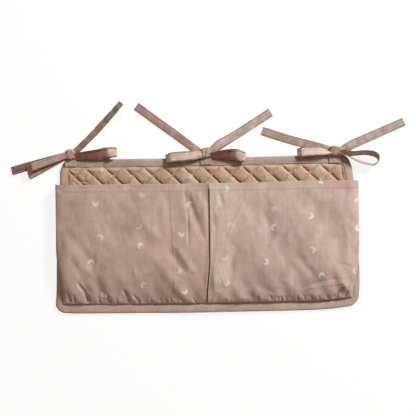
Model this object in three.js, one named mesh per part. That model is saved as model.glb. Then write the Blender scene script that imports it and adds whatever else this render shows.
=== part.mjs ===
// Crib organizer: a quilted back panel with two gathered pockets and three tied bows.
// It lies flat on its back: +X right, +Y towards the tied edge, +Z out of the front.
// The origin is the middle of the back panel, on its back face. Lengths are millimetres.

import * as THREE from 'three';
import { mergeVertices } from 'three/addons/utils/BufferGeometryUtils.js';

// Back panel
const PANEL_WIDTH = 600;
const PANEL_HEIGHT = 306;
const TOP_DRAW_IN = 21;
const DRAW_IN_POWER = 6;
const CORNER_RADIUS = 20;
const PANEL_EDGE_THICKNESS = 6.4;
const LAYER_GAP = 0.3;
const LINING_THICKNESS = 0.7;
const WADDING_THICKNESS = 2.1;
const FACE_THICKNESS = 0.8;

// Quilting
const DIAMOND_WIDTH = 38.9;
const DIAMOND_HEIGHT = 38;
const PUFF_HEIGHT = 4;
const PUFF_FADE = 16;
const LEAST_CELL = 4;
const QUILT_CROSSING_FROM_TOP = 34.3;
const QUILT_CROSSING_X = 11;

// Binding tape
const BINDING_WIDTH = 15.5;
const BOTTOM_BINDING_WIDTH = 18;
const BINDING_CLOTH = 0.8;
const BINDING_EDGE_CHAMFER = 0.8;

// Pockets
const MOUTH_FROM_TOP = 50.5;
const POCKET_SIDE_INSET = 1;
const POCKET_TAPER = 14;
const POCKET_TAPER_HEIGHT = 118;
const POCKET_CLOTH = 1.2;
const HEM_HEIGHT = 16;
const HEM_EXTRA = 0.5;
const POCKET_MID_RISE = 17.5;
const POCKET_MOUTH_DROP = 3;
const POCKET_EDGE_RISE = 11.5;
const POCKET_EDGE_ROUND = 26;
const POCKET_LIFT_OFF = 62;
const BOTTOM_SEAM_GAP = 0.5;
const CENTRE_X = 5.5;
const CENTRE_SWERVE = 6.5;
const CENTRE_SWERVE_FROM = 40;
const CENTRE_GAP = 0.9;
const GATHER_SPACING = 36;
const GATHER_HEIGHT = 2.4;
const GATHER_RISE = 11.3;
const GATHER_REACH = 34;
const FOLD_HEIGHT = 1.6;
const FOLD_SPACING = 118;
const FOLD_SLOPE = 0.55;

// Side folds of the pockets
const GUSSET_CLOTH = 0.9;
const GUSSET_DEPTH = 19;
const GUSSET_SEAM_INSET = 3;
const GUSSET_START = 34;

// Ties
const TAPE_WIDTH = 15.5;
const TAPE_THICKNESS = 1.6;
const TAPE_ROOT_WIDTH = 10;
const ROOT_TAPER_LENGTH = 16;
const KNOT_RADIUS = 10;
const KNOT_HEIGHT = 13;
const KNOT_ROUNDNESS = 4;
const KNOT_GAP = 0.4;
const ANCHOR_WIDTH = 24;
const ANCHOR_INSET = 1.5;
const LEFT_BOW_FROM_SIDE = 31.4;
const CENTRE_BOW_X = 0.8;
const RIGHT_BOW_FROM_SIDE = 43.8;

// Counts of steps, and how closely they crowd where a shape turns most
const LINING_STEPS = 24;
const TOP_BINDING_STEPS = 12;
const SIDE_BINDING_STEPS = 14;
const CORNER_STEPS = 4;
const SIDE_CROWDING = 1.5;
const POCKET_COLUMNS = 30;
const POCKET_ROWS = 15;
const POCKET_ROW_CROWDING = 0.65;
const GUSSET_STEPS = 9;
const KNOT_STEPS = 10;
const KNOT_SIDES = 20;
const LOOP_STEPS = 32;
const TAIL_STEPS = 14;

const HALF_HEIGHT = PANEL_HEIGHT / 2;
const MOUTH_Y = HALF_HEIGHT - MOUTH_FROM_TOP;
const POCKET_BOTTOM_Y = -HALF_HEIGHT + BOTTOM_BINDING_WIDTH + BOTTOM_SEAM_GAP;
const LINING_Z = BINDING_CLOTH + LAYER_GAP;
const WADDING_Z = LINING_Z + LINING_THICKNESS + LAYER_GAP;
const FACE_Z = WADDING_Z + WADDING_THICKNESS + LAYER_GAP;
const FACE_TOP_Z = FACE_Z + FACE_THICKNESS;
const POCKET_SEAM_Z = PANEL_EDGE_THICKNESS + LAYER_GAP;
const EDGE_CLEARANCE = BINDING_CLOTH + LAYER_GAP;
const KNOT_Y = HALF_HEIGHT + KNOT_RADIUS + LAYER_GAP;
const KNOT_Z = PANEL_EDGE_THICKNESS / 2 + KNOT_HEIGHT / 2;
const FLOOR_Z = LAYER_GAP + TAPE_THICKNESS / 2;
const BOW_X = {
  left: -PANEL_WIDTH / 2 + LEFT_BOW_FROM_SIDE,
  centre: CENTRE_BOW_X,
  right: PANEL_WIDTH / 2 - RIGHT_BOW_FROM_SIDE,
};

// Each limb of a bow: its direction in degrees, and stations from the knot outwards.
// A station is [distance, sideways, height, lean]: lean 0 is flat, 90 stands on edge.
const BOWS = {
  left: {
    loop_left: {
      angle: 203.2,
      stations: [
        [0, -0.5, 13, 25], [22, -2.5, 13.4, 22], [47, -4, 13.2, 25], [68, -4, 13.4, 28],
        [79, 0.5, 10.6, 30], [70, 5.5, 7.6, 30], [46, 5, 7.4, 22], [22, 2, 8, 15], [0, 0.5, 8.9, 10],
      ],
    },
    loop_right: {
      angle: 3.2,
      stations: [
        [0, -2, 12.3, 70], [20, -7, 15, 86], [48, -9, 16.5, 90], [70, -7.5, 16.5, 88],
        [81, -1, 15.4, 78], [74, 5, 13, 55], [50, 4.5, 11.5, 34], [22, 2, 11, 30], [0, 1.5, 9.3, 20],
      ],
    },
    tail_left: {
      angle: 194.5,
      stations: [[0, 0, 4.6, 0], [20, 0, 2.4, 0], [45, 0, FLOOR_Z, 0], [109, 0, FLOOR_Z, 0]],
    },
    tail_right: {
      angle: 45,
      stations: [[0, 0, 4.6, 0], [22, 0, 5.4, 24], [50, 1, 6.6, 42], [134, 0, 6.6, 42]],
    },
  },
  centre: {
    loop_left: {
      angle: 187.4,
      stations: [
        [0, 0, 13.2, 20], [18, -1, 15.2, 18], [44, -1, 16.2, 15], [60, 0, 15.4, 15],
        [68, 0.5, 12.2, 15], [60, 1.5, 9.4, 13], [38, 1.5, 9.2, 10], [16, 1, 9.1, 8], [0, 0, 9.1, 6],
      ],
    },
    loop_right: {
      angle: 353.6,
      stations: [
        [0, 0.6, 12, 55], [14, 5, 13.6, 52], [34, 9, 14.2, 48], [54, 9, 14.2, 54],
        [66, 2.5, 15.4, 72], [60, -5.5, 15.4, 88], [42, -8, 15.2, 92], [20, -5.5, 14.8, 92], [0, -2.6, 12.4, 84],
      ],
    },
    tail_left: {
      angle: 145.4,
      stations: [[0, 0, 4.6, 0], [20, 0, 3.4, 3], [50, 0, 1.9, 4], [156, 0, FLOOR_Z, 0]],
    },
    tail_right: {
      angle: 32.2,
      stations: [[0, 1, 4.6, 0], [16, 3, 4.4, -8], [42, 1.2, 2.6, -6], [90, 0, FLOOR_Z, 0], [141, 0, FLOOR_Z, 0]],
    },
  },
  right: {
    loop_left: {
      angle: 182.9,
      stations: [
        [0, 0, 13, 28], [16, -1, 15, 18], [40, -1.5, 16, 13], [55, -0.5, 15.2, 12],
        [65, 1.5, 12, 12], [57, 2.5, 9.3, 11], [34, 2, 9.1, 9], [14, 1, 9, 8], [0, 0.3, 9, 6],
      ],
    },
    loop_right: {
      angle: 348.1,
      stations: [
        [0, 1.4, 11.9, 76], [18, 5, 11.4, 82], [39, 8.5, 10.4, 84], [62, 8.5, 9.6, 85], [76, 3, 9.4, 88],
        [76, -7, 9.4, 90], [68, -13, 9.4, 92], [50, -11, 9.6, 92], [32, -8, 10, 92], [14, -4, 11, 90],
        [0, -2.2, 11.8, 84],
      ],
    },
    tail_left: {
      angle: 163.4,
      stations: [[0, 0, 4.6, 0], [20, 1, 3.2, 3], [50, 1, 1.6, 2], [137, 0, FLOOR_Z, 0]],
    },
    tail_right: {
      angle: 22.2,
      stations: [[0, 0, 4.6, 0], [20, 1, 3.6, -6], [50, 0.6, 2, -4], [138, 0, FLOOR_Z, 0]],
    },
  },
};

const fabric = (colour) => new THREE.MeshStandardMaterial({ color: colour, roughness: 0.9, metalness: 0 });
const pocketCloth = fabric(0xb69a8d);
const quiltCloth = fabric(0xb89a84);
const bindingCloth = fabric(0xae9284);
const liningCloth = fabric(0xb9a092);
const waddingFill = fabric(0xe8e2d8);
const tieCloth = fabric(0xb89f92);

const group = new THREE.Group();

function addMesh(name, geometry, material) {
  const mesh = new THREE.Mesh(geometry, material);
  mesh.name = name;
  group.add(mesh);
}

const radians = (degrees) => (degrees * Math.PI) / 180;
const clamp01 = (value) => Math.min(1, Math.max(0, value));
const smooth = (value) => clamp01(value) ** 2 * (3 - 2 * clamp01(value));
const mix = (a, b, share) => a + (b - a) * share;

// Half of the panel's width at height y, drawn in near the top, rounded at the lower corners
function halfWidthAt(y, inset = 0) {
  const rise = clamp01((y + HALF_HEIGHT) / PANEL_HEIGHT);
  const side = PANEL_WIDTH / 2 - TOP_DRAW_IN * rise ** DRAW_IN_POWER - inset;
  const radius = CORNER_RADIUS - inset;
  const intoCorner = radius - (y + HALF_HEIGHT - inset);
  if (intoCorner <= 0) return side;
  return side - radius + Math.sqrt(Math.max(0, radius ** 2 - Math.min(intoCorner, radius) ** 2));
}

// One closed body from triangles of points, turned so that its faces point outwards
function solidFromTriangles(triangles) {
  const volume = triangles.reduce((sum, [a, b, c]) => sum
    + a[0] * (b[1] * c[2] - b[2] * c[1])
    + a[1] * (b[2] * c[0] - b[0] * c[2])
    + a[2] * (b[0] * c[1] - b[1] * c[0]), 0);
  const outward = volume > 0 ? triangles : triangles.map(([a, b, c]) => [c, b, a]);
  const positions = new Float32Array(outward.flat(2));
  const geometry = new THREE.BufferGeometry();
  geometry.setAttribute('position', new THREE.BufferAttribute(positions, 3));
  const merged = mergeVertices(geometry, 1e-4);
  merged.computeVertexNormals();
  return merged;
}

// Two triangles of a four-cornered patch, seen anticlockwise from outside
function patch(a, b, c, d) {
  return [[a, b, c], [a, c, d]];
}

// A sheet with thickness: two grids of the same size, joined round their rim.
// splitOther says which diagonal a cell is cut along.
function sheetSolid(upper, lower, splitOther = () => false, flatUnderside = false) {
  const rows = upper.length;
  const columns = upper[0].length;
  const triangles = [];
  for (let j = 0; j < rows - 1; j += 1) {
    for (let i = 0; i < columns - 1; i += 1) {
      const up = [upper[j][i], upper[j][i + 1], upper[j + 1][i + 1], upper[j + 1][i]];
      const low = [lower[j][i], lower[j][i + 1], lower[j + 1][i + 1], lower[j + 1][i]];
      const turn = splitOther(i, j) ? 1 : 0;
      const order = [0, 1, 2, 3].map((k) => (k + turn) % 4);
      triangles.push(...patch(...order.map((k) => up[k])));
      if (!flatUnderside) triangles.push(...patch(...order.map((k) => low[k])).map((t) => t.reverse()));
    }
  }
  const rim = [];
  for (let i = 0; i < columns - 1; i += 1) rim.push([0, i]);
  for (let j = 0; j < rows - 1; j += 1) rim.push([j, columns - 1]);
  for (let i = columns - 1; i > 0; i -= 1) rim.push([rows - 1, i]);
  for (let j = rows - 1; j > 0; j -= 1) rim.push([j, 0]);
  rim.forEach(([j, i], k) => {
    const [nextJ, nextI] = rim[(k + 1) % rim.length];
    triangles.push(...patch(lower[j][i], lower[nextJ][nextI], upper[nextJ][nextI], upper[j][i]));
  });
  if (flatUnderside) {
    const outline = rim.map(([j, i]) => lower[j][i]);
    const flat = outline.map((p) => new THREE.Vector2(p[0], p[1]));
    THREE.ShapeUtils.triangulateShape(flat, []).forEach(([a, b, c]) => {
      triangles.push([outline[c], outline[b], outline[a]]);
    });
  }
  return solidFromTriangles(triangles);
}

// A body lofted through rings of points. The section's outline says how its two ends close.
function loftSolid(rings, sectionOutline) {
  const size = rings[0].length;
  const anticlockwise = !THREE.ShapeUtils.isClockWise(sectionOutline);
  const triangles = [];
  for (let r = 0; r < rings.length - 1; r += 1) {
    for (let k = 0; k < size; k += 1) {
      const next = (k + 1) % size;
      triangles.push(...patch(rings[r][k], rings[r][next], rings[r + 1][next], rings[r + 1][k]));
    }
  }
  const caps = THREE.ShapeUtils.triangulateShape(sectionOutline, []);
  const last = rings[rings.length - 1];
  caps.forEach(([a, b, c]) => {
    const [first, third] = anticlockwise ? [c, a] : [a, c];
    triangles.push([rings[0][first], rings[0][b], rings[0][third]]);
    triangles.push([last[third], last[b], last[first]]);
  });
  return solidFromTriangles(triangles);
}

// The whole numbers k for which start + k * step lies between two limits
function stepsBetween(start, step, low, high) {
  const first = Math.ceil((low - start) / step);
  const last = Math.floor((high - start) / step);
  return Array.from({ length: last - first + 1 }, (_, k) => first + k);
}

// Quilt lines cross where column plus row is even, and puffs rise between them
const STEP_X = DIAMOND_WIDTH / 2;
const STEP_Y = DIAMOND_HEIGHT / 2;
const CROSSING_Y = HALF_HEIGHT - QUILT_CROSSING_FROM_TOP;
const FREE_LOW = -HALF_HEIGHT + BOTTOM_BINDING_WIDTH;
const FREE_HIGH = HALF_HEIGHT - BINDING_WIDTH;
const FREE_SIDE = halfWidthAt(FREE_HIGH) - BINDING_WIDTH;
const QUILT_ROWS = stepsBetween(CROSSING_Y, STEP_Y, FREE_LOW + LEAST_CELL, FREE_HIGH - LEAST_CELL);
const QUILT_COLUMNS = stepsBetween(QUILT_CROSSING_X, STEP_X, -FREE_SIDE + LEAST_CELL, FREE_SIDE - LEAST_CELL);

// Share of the puff height left near the bindings, which press the quilt flat
function puffShare(x, y) {
  const fromSide = halfWidthAt(y) - BINDING_WIDTH - Math.abs(x);
  return smooth(Math.min(FREE_HIGH - y, y - FREE_LOW, fromSide) / PUFF_FADE);
}

// A row under a binding is flat, and its columns draw together where the panel is narrower
function quiltRow(y, row, baseZ) {
  const half = halfWidthAt(y, EDGE_CLEARANCE);
  const free = half - BINDING_WIDTH;
  const widest = Math.max(...QUILT_COLUMNS.map((column) => Math.abs(QUILT_CROSSING_X + column * STEP_X)));
  const narrowing = Math.min(1, (free - LEAST_CELL / 2) / widest);
  const inner = QUILT_COLUMNS.map((column) => {
    const x = (QUILT_CROSSING_X + column * STEP_X) * narrowing;
    const isPuff = row !== null && (column + row) % 2 !== 0;
    return [x, y, baseZ + (isPuff ? PUFF_HEIGHT * puffShare(x, y) : 0)];
  });
  return [[-half, y, baseZ], [-free, y, baseZ], ...inner, [free, y, baseZ], [half, y, baseZ]];
}

function quiltPoints(baseZ) {
  return [
    quiltRow(-HALF_HEIGHT + EDGE_CLEARANCE, null, baseZ),
    quiltRow(FREE_LOW, null, baseZ),
    ...QUILT_ROWS.map((row) => quiltRow(CROSSING_Y + row * STEP_Y, row, baseZ)),
    quiltRow(FREE_HIGH, null, baseZ),
    quiltRow(HALF_HEIGHT - EDGE_CLEARANCE, null, baseZ),
  ];
}

// A cell is cut along the line that joins its two crossings
function quiltSplit(i, j) {
  return (QUILT_COLUMNS[0] + i + QUILT_ROWS[0] + j) % 2 !== 0;
}

function quiltFace() {
  return sheetSolid(quiltPoints(FACE_TOP_Z), quiltPoints(FACE_Z), quiltSplit);
}

function quiltWadding() {
  const flat = quiltPoints(WADDING_Z).map((row) => row.map(([x, y]) => [x, y, WADDING_Z]));
  return sheetSolid(quiltPoints(WADDING_Z + WADDING_THICKNESS), flat, quiltSplit, true);
}

// The lining is sunk to the back face inside the bindings
function backLining() {
  const top = LINING_Z + LINING_THICKNESS;
  const ring = (inset, z) => {
    const low = -HALF_HEIGHT + inset;
    const high = HALF_HEIGHT - inset;
    const levels = Array.from({ length: LINING_STEPS + 1 }, (_, k) => (
      mix(low, high, (k / LINING_STEPS) ** SIDE_CROWDING)
    ));
    const right = levels.map((y) => [halfWidthAt(y, inset), y, z]);
    const left = levels.map((y) => [-halfWidthAt(y, inset), y, z]).reverse();
    return [...right, ...left];
  };
  const sunkInset = Math.max(BINDING_WIDTH, BOTTOM_BINDING_WIDTH) + 2 * LAYER_GAP;
  const rings = [
    ring(sunkInset, 0),
    ring(sunkInset, LINING_Z),
    ring(EDGE_CLEARANCE, LINING_Z),
    ring(EDGE_CLEARANCE, top),
  ];
  return loftSolid(rings, rings[0].map((p) => new THREE.Vector2(p[0], p[1])));
}

// The folded tape's section: x is the way in from the edge, y is the height
function bindingSection(width) {
  const top = PANEL_EDGE_THICKNESS;
  const chamfer = BINDING_EDGE_CHAMFER;
  return [
    [chamfer, 0], [width, 0], [width, BINDING_CLOTH], [BINDING_CLOTH, BINDING_CLOTH],
    [BINDING_CLOTH, top - BINDING_CLOTH], [width, top - BINDING_CLOTH], [width, top], [chamfer, top],
    [0, top - chamfer], [0, chamfer],
  ];
}

function topBinding() {
  const section = bindingSection(BINDING_WIDTH);
  const rings = Array.from({ length: TOP_BINDING_STEPS + 1 }, (_, k) => {
    const share = mix(-1, 1, k / TOP_BINDING_STEPS);
    return section.map(([inset, z]) => {
      const y = HALF_HEIGHT - inset;
      return [share * halfWidthAt(y), y, z];
    });
  });
  return loftSolid(rings, section.map(([x, y]) => new THREE.Vector2(x, y)));
}

// Stations along the panel's edge: a point and the direction that points into the panel
function sideStations(side) {
  const stations = [];
  const highest = HALF_HEIGHT - BINDING_WIDTH - LAYER_GAP;
  const lowest = -HALF_HEIGHT + CORNER_RADIUS;
  for (let k = 0; k <= SIDE_BINDING_STEPS; k += 1) {
    const y = mix(highest, lowest, (k / SIDE_BINDING_STEPS) ** SIDE_CROWDING);
    stations.push({ point: [side * halfWidthAt(y), y], inward: [-side, 0], width: BINDING_WIDTH });
  }
  return stations.concat(cornerStations(side, 0, radians(45) - mitreTurn()).slice(1));
}

// Half of the mitre's gap, as a turn about the corner's centre
function mitreTurn() {
  return LAYER_GAP / CORNER_RADIUS;
}

// Stations round a lower corner, from the side edge (turn 0) to the bottom edge (turn 90)
function cornerStations(side, from, to) {
  const centre = [side * (PANEL_WIDTH / 2 - CORNER_RADIUS), -HALF_HEIGHT + CORNER_RADIUS];
  return Array.from({ length: CORNER_STEPS + 1 }, (_, k) => {
    const turn = mix(from, to, k / CORNER_STEPS);
    const out = [side * Math.cos(turn), -Math.sin(turn)];
    const width = mix(BINDING_WIDTH, BOTTOM_BINDING_WIDTH, turn / (Math.PI / 2));
    return {
      point: [centre[0] + CORNER_RADIUS * out[0], centre[1] + CORNER_RADIUS * out[1]],
      inward: [-out[0], -out[1]],
      width,
    };
  });
}

function bindingAlong(stations) {
  const rings = stations.map(({ point, inward, width }) => bindingSection(width).map(([inset, z]) => [
    point[0] + inward[0] * inset,
    point[1] + inward[1] * inset,
    z,
  ]));
  const outline = bindingSection(BINDING_WIDTH).map(([x, y]) => new THREE.Vector2(x, y));
  return loftSolid(rings, outline);
}

function sideBinding(side) {
  return bindingAlong(sideStations(side));
}

function bottomBinding() {
  const start = radians(45) + mitreTurn();
  const left = cornerStations(-1, start, Math.PI / 2);
  const right = cornerStations(1, start, Math.PI / 2).reverse();
  const span = PANEL_WIDTH / 2 - CORNER_RADIUS;
  const middle = [-0.5, 0, 0.5].map((share) => (
    { point: [share * span, -HALF_HEIGHT], inward: [0, 1], width: BOTTOM_BINDING_WIDTH }
  ));
  return bindingAlong([...left, ...middle, ...right]);
}

// The line between the two pockets, which swerves near the bottom
function centreLine(y) {
  const swerveLength = -CENTRE_SWERVE_FROM - POCKET_BOTTOM_Y;
  return CENTRE_X - CENTRE_SWERVE * smooth((-CENTRE_SWERVE_FROM - y) / swerveLength);
}

function pocketOuter(y) {
  const taper = smooth((POCKET_BOTTOM_Y + POCKET_TAPER_HEIGHT - y) / POCKET_TAPER_HEIGHT);
  return PANEL_WIDTH / 2 - POCKET_SIDE_INSET - POCKET_TAPER * taper;
}

// Height of the pocket front's underside at its side edges, and at its middle
function pocketEdgeZ(y) {
  const lift = smooth((y - POCKET_BOTTOM_Y) / POCKET_LIFT_OFF);
  return POCKET_SEAM_Z + POCKET_EDGE_RISE * lift;
}

function pocketMidZ(y) {
  const up = clamp01((y - POCKET_BOTTOM_Y) / POCKET_LIFT_OFF);
  const puff = Math.sqrt(1 - (1 - up) ** 2);
  const toMouth = smooth((y - POCKET_BOTTOM_Y) / (MOUTH_Y - POCKET_BOTTOM_Y));
  return POCKET_SEAM_Z + POCKET_MID_RISE * puff - POCKET_MOUTH_DROP * toMouth;
}

// Gathers along the bottom seam and long slanting folds above it
function pocketFolds(x, y, side) {
  const fromSeam = y - POCKET_BOTTOM_Y;
  const gather = Math.cos((2 * Math.PI * (x + FOLD_SLOPE * fromSeam)) / GATHER_SPACING);
  const gatherShare = smooth(fromSeam / GATHER_RISE) * Math.exp(-fromSeam / GATHER_REACH);
  const fold = Math.sin((2 * Math.PI * (x + side * FOLD_SLOPE * fromSeam)) / FOLD_SPACING);
  const foldShare = smooth(fromSeam / POCKET_LIFT_OFF) * smooth((MOUTH_Y - y) / POCKET_LIFT_OFF);
  return GATHER_HEIGHT * gather * gatherShare + FOLD_HEIGHT * fold * foldShare;
}

function pocketFront(side) {
  const upper = [];
  const lower = [];
  for (let j = 0; j <= POCKET_ROWS; j += 1) {
    const share = j / POCKET_ROWS;
    const y = mix(POCKET_BOTTOM_Y, MOUTH_Y, mix(share, share ** 2, POCKET_ROW_CROWDING));
    const inner = centreLine(y) + side * CENTRE_GAP;
    const outer = side * pocketOuter(y);
    const hem = y > MOUTH_Y - HEM_HEIGHT ? HEM_EXTRA : 0;
    const left = Math.min(inner, outer);
    const right = Math.max(inner, outer);
    upper.push([]);
    lower.push([]);
    for (let i = 0; i <= POCKET_COLUMNS; i += 1) {
      const x = mix(left, right, i / POCKET_COLUMNS);
      const fromEdge = Math.min(x - left, right - x);
      const inside = Math.sqrt(1 - (1 - clamp01(fromEdge / POCKET_EDGE_ROUND)) ** 2);
      const under = mix(pocketEdgeZ(y), pocketMidZ(y), inside) + pocketFolds(x, y, side) * inside;
      lower[j].push([x, y, under - hem]);
      upper[j].push([x, y, under + POCKET_CLOTH + hem]);
    }
  }
  return sheetSolid(upper, lower);
}

// A side fold between the back panel and a pocket front's edge, its crease pointing inwards
function pocketGusset(side, atCentre) {
  const half = GUSSET_CLOTH / 2;
  const inwards = atCentre ? side : -side;
  const backZ = atCentre ? FACE_TOP_Z + PUFF_HEIGHT : PANEL_EDGE_THICKNESS;
  const rings = Array.from({ length: GUSSET_STEPS + 1 }, (_, k) => {
    const y = mix(POCKET_BOTTOM_Y + GUSSET_START, MOUTH_Y - HEM_EXTRA, k / GUSSET_STEPS);
    const edge = atCentre ? centreLine(y) + side * CENTRE_GAP : side * pocketOuter(y);
    const seamX = edge + inwards * GUSSET_SEAM_INSET;
    const creaseX = edge + inwards * GUSSET_DEPTH;
    const hem = y > MOUTH_Y - HEM_HEIGHT ? HEM_EXTRA : 0;
    const topZ = pocketEdgeZ(y) - hem - LAYER_GAP - half;
    const lowZ = backZ + LAYER_GAP + half;
    const midZ = (topZ + lowZ) / 2;
    return [
      [seamX, y, topZ + half], [creaseX, y, midZ], [seamX, y, lowZ - half],
      [seamX, y, lowZ + half], [creaseX - inwards * 2 * GUSSET_CLOTH, y, midZ], [seamX, y, topZ - half],
    ];
  });
  return loftSolid(rings, rings[0].map(([x, , z]) => new THREE.Vector2(x, z)));
}

// Points, width directions and widths along one limb of a bow
function limbStations(bowName, limbName, steps) {
  const { angle, stations } = BOWS[bowName][limbName];
  const along = [Math.cos(radians(angle)), Math.sin(radians(angle))];
  const across = [-along[1], along[0]];
  const start = KNOT_RADIUS + KNOT_GAP;
  const centre = [BOW_X[bowName], KNOT_Y];
  const curve = new THREE.CatmullRomCurve3(stations.map(([s, n, z]) => new THREE.Vector3(
    centre[0] + (start + s) * along[0] + n * across[0],
    centre[1] + (start + s) * along[1] + n * across[1],
    z,
  )), false, 'centripetal');
  const isLoop = limbName.startsWith('loop');
  const length = curve.getLength();
  return Array.from({ length: steps + 1 }, (_, k) => {
    const share = k / steps;
    const parameter = curve.getUtoTmapping(share);
    const place = parameter * (stations.length - 1);
    const before = Math.min(Math.floor(place), stations.length - 2);
    const lean = radians(mix(stations[before][3], stations[before + 1][3], place - before));
    const tangent = curve.getTangent(parameter);
    const width = new THREE.Vector3(across[0] * Math.cos(lean), across[1] * Math.cos(lean), Math.sin(lean));
    width.addScaledVector(tangent, -width.dot(tangent)).normalize();
    const fromRoot = length * (isLoop ? Math.min(share, 1 - share) : share);
    return {
      point: curve.getPoint(parameter),
      tangent,
      width,
      size: mix(TAPE_ROOT_WIDTH, TAPE_WIDTH, smooth(fromRoot / ROOT_TAPER_LENGTH)),
    };
  });
}

function tapeSolid(stations) {
  const corners = [[-0.5, -0.5], [0.5, -0.5], [0.5, 0.5], [-0.5, 0.5]];
  const rings = stations.map(({ point, tangent, width, size }) => {
    const normal = new THREE.Vector3().crossVectors(tangent, width).normalize();
    return corners.map(([w, t]) => point.clone()
      .addScaledVector(width, w * size)
      .addScaledVector(normal, t * TAPE_THICKNESS)
      .toArray());
  });
  return loftSolid(rings, corners.map(([x, y]) => new THREE.Vector2(x, y)));
}

// The knot is a body turned about its upright axis, with bulging sides
function knotSolid(bowName) {
  const profile = Array.from({ length: KNOT_STEPS + 1 }, (_, k) => {
    const turn = mix(-Math.PI / 2, Math.PI / 2, k / KNOT_STEPS);
    const power = 2 / KNOT_ROUNDNESS;
    const radius = KNOT_RADIUS * Math.abs(Math.cos(turn)) ** power;
    const height = (KNOT_HEIGHT / 2) * Math.sign(Math.sin(turn)) * Math.abs(Math.sin(turn)) ** power;
    return new THREE.Vector2(k === 0 || k === KNOT_STEPS ? 0 : radius, height);
  });
  const turned = new THREE.LatheGeometry(profile, KNOT_SIDES);
  turned.rotateX(Math.PI / 2);
  turned.translate(BOW_X[bowName], KNOT_Y, KNOT_Z);
  return turned;
}

// The sewn middle of the tie, flat on the top binding
function anchorSolid(bowName) {
  const depth = BINDING_WIDTH - 2 * ANCHOR_INSET;
  const low = HALF_HEIGHT - BINDING_WIDTH + ANCHOR_INSET;
  const high = KNOT_Y - KNOT_RADIUS - LAYER_GAP;
  const shape = new THREE.Shape();
  shape.moveTo(-ANCHOR_WIDTH / 2, low);
  shape.lineTo(ANCHOR_WIDTH / 2, low);
  shape.lineTo(ANCHOR_WIDTH / 2, low + depth);
  shape.lineTo(TAPE_ROOT_WIDTH / 2, high);
  shape.lineTo(-TAPE_ROOT_WIDTH / 2, high);
  shape.lineTo(-ANCHOR_WIDTH / 2, low + depth);
  shape.closePath();
  const plate = new THREE.ExtrudeGeometry(shape, { depth: TAPE_THICKNESS, bevelEnabled: false });
  plate.translate(BOW_X[bowName], 0, PANEL_EDGE_THICKNESS + LAYER_GAP);
  return plate;
}

addMesh('back_lining', backLining(), liningCloth);
addMesh('quilt_wadding', quiltWadding(), waddingFill);
addMesh('quilt_face', quiltFace(), quiltCloth);
addMesh('top_binding', topBinding(), bindingCloth);
addMesh('left_binding', sideBinding(-1), bindingCloth);
addMesh('right_binding', sideBinding(1), bindingCloth);
addMesh('bottom_binding', bottomBinding(), bindingCloth);

addMesh('pocket_front_left', pocketFront(-1), pocketCloth);
addMesh('pocket_front_right', pocketFront(1), pocketCloth);
addMesh('gusset_left_outer', pocketGusset(-1, false), pocketCloth);
addMesh('gusset_left_inner', pocketGusset(-1, true), pocketCloth);
addMesh('gusset_right_inner', pocketGusset(1, true), pocketCloth);
addMesh('gusset_right_outer', pocketGusset(1, false), pocketCloth);

for (const bowName of Object.keys(BOWS)) {
  addMesh(`bow_${bowName}_anchor`, anchorSolid(bowName), tieCloth);
  addMesh(`bow_${bowName}_knot`, knotSolid(bowName), tieCloth);
  for (const limbName of Object.keys(BOWS[bowName])) {
    const steps = limbName.startsWith('loop') ? LOOP_STEPS : TAIL_STEPS;
    addMesh(`bow_${bowName}_${limbName}`, tapeSolid(limbStations(bowName, limbName, steps)), tieCloth);
  }
}

export default group;
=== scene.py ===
"""The looks of a crib organizer: a quilted panel, two gathered pockets and three tied bows."""

import math
from functools import partial

import bmesh
import bpy
import numpy as np
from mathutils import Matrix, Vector

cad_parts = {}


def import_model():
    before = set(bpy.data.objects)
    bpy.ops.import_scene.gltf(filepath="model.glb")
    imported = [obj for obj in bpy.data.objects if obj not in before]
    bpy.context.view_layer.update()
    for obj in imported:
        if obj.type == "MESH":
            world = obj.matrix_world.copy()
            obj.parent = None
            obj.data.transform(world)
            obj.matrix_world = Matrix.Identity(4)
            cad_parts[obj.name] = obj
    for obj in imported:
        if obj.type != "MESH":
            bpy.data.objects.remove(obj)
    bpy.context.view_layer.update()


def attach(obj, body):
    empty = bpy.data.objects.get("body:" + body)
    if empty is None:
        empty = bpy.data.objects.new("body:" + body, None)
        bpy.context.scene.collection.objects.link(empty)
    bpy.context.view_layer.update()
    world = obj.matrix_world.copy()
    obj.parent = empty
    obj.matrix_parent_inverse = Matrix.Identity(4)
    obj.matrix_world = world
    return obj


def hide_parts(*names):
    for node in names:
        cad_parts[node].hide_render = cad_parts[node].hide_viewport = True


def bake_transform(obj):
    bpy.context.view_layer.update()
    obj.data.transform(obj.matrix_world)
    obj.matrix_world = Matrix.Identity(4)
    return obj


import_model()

MM = 0.001
SIDES = {-1: "left", 1: "right"}
UPWARDS = (0, 0, 1)

# Panel, in millimetres, in the frame's axes
PANEL_WIDTH = 600
PANEL_HEIGHT = 306
TOP_DRAW_IN = 11.5
SHOULDER = 6
SHOULDER_HEIGHT = 28
TOP_CORNER_RADIUS = 12
CORNER_RADIUS = 20
RIGHT_PULL = 2.2
LEFT_PULL = 1.3
CORNER_LIFT = 6.5
EDGE_LIFT = 2
EDGE_SAG = 1.2
TOP_LIFT = 1.8
PANEL_THICKNESS = 6.4
LAYER_GAP = 0.3
EDGE_CLEARANCE = 1.1
WADDING_Z = 2.1
FACE_TOP_Z = 5.3
LINING_TOP_Z = 1.75
HALF_HEIGHT = PANEL_HEIGHT / 2

# Quilting
DIAMOND_WIDTH = 38.9
DIAMOND_HEIGHT = 38
PUFF_HEIGHT = 4
PUFF_CROWN = 3.2
PUFF_FADE = 7.2
STITCH_SINK = 1
QUILT_LOWEST = -2.4
QUILT_FINE_FROM = 26
CROSSING = (11, HALF_HEIGHT - 34.3)

# Binding tape
BINDING_WIDTH = 15.5
BOTTOM_BINDING_WIDTH = 18
BINDING_CLOTH = 0.8
STITCH_INSET = 2.4
STITCH_PULL_REACH = 3.2
THREAD_SUNK = 0.16
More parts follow.
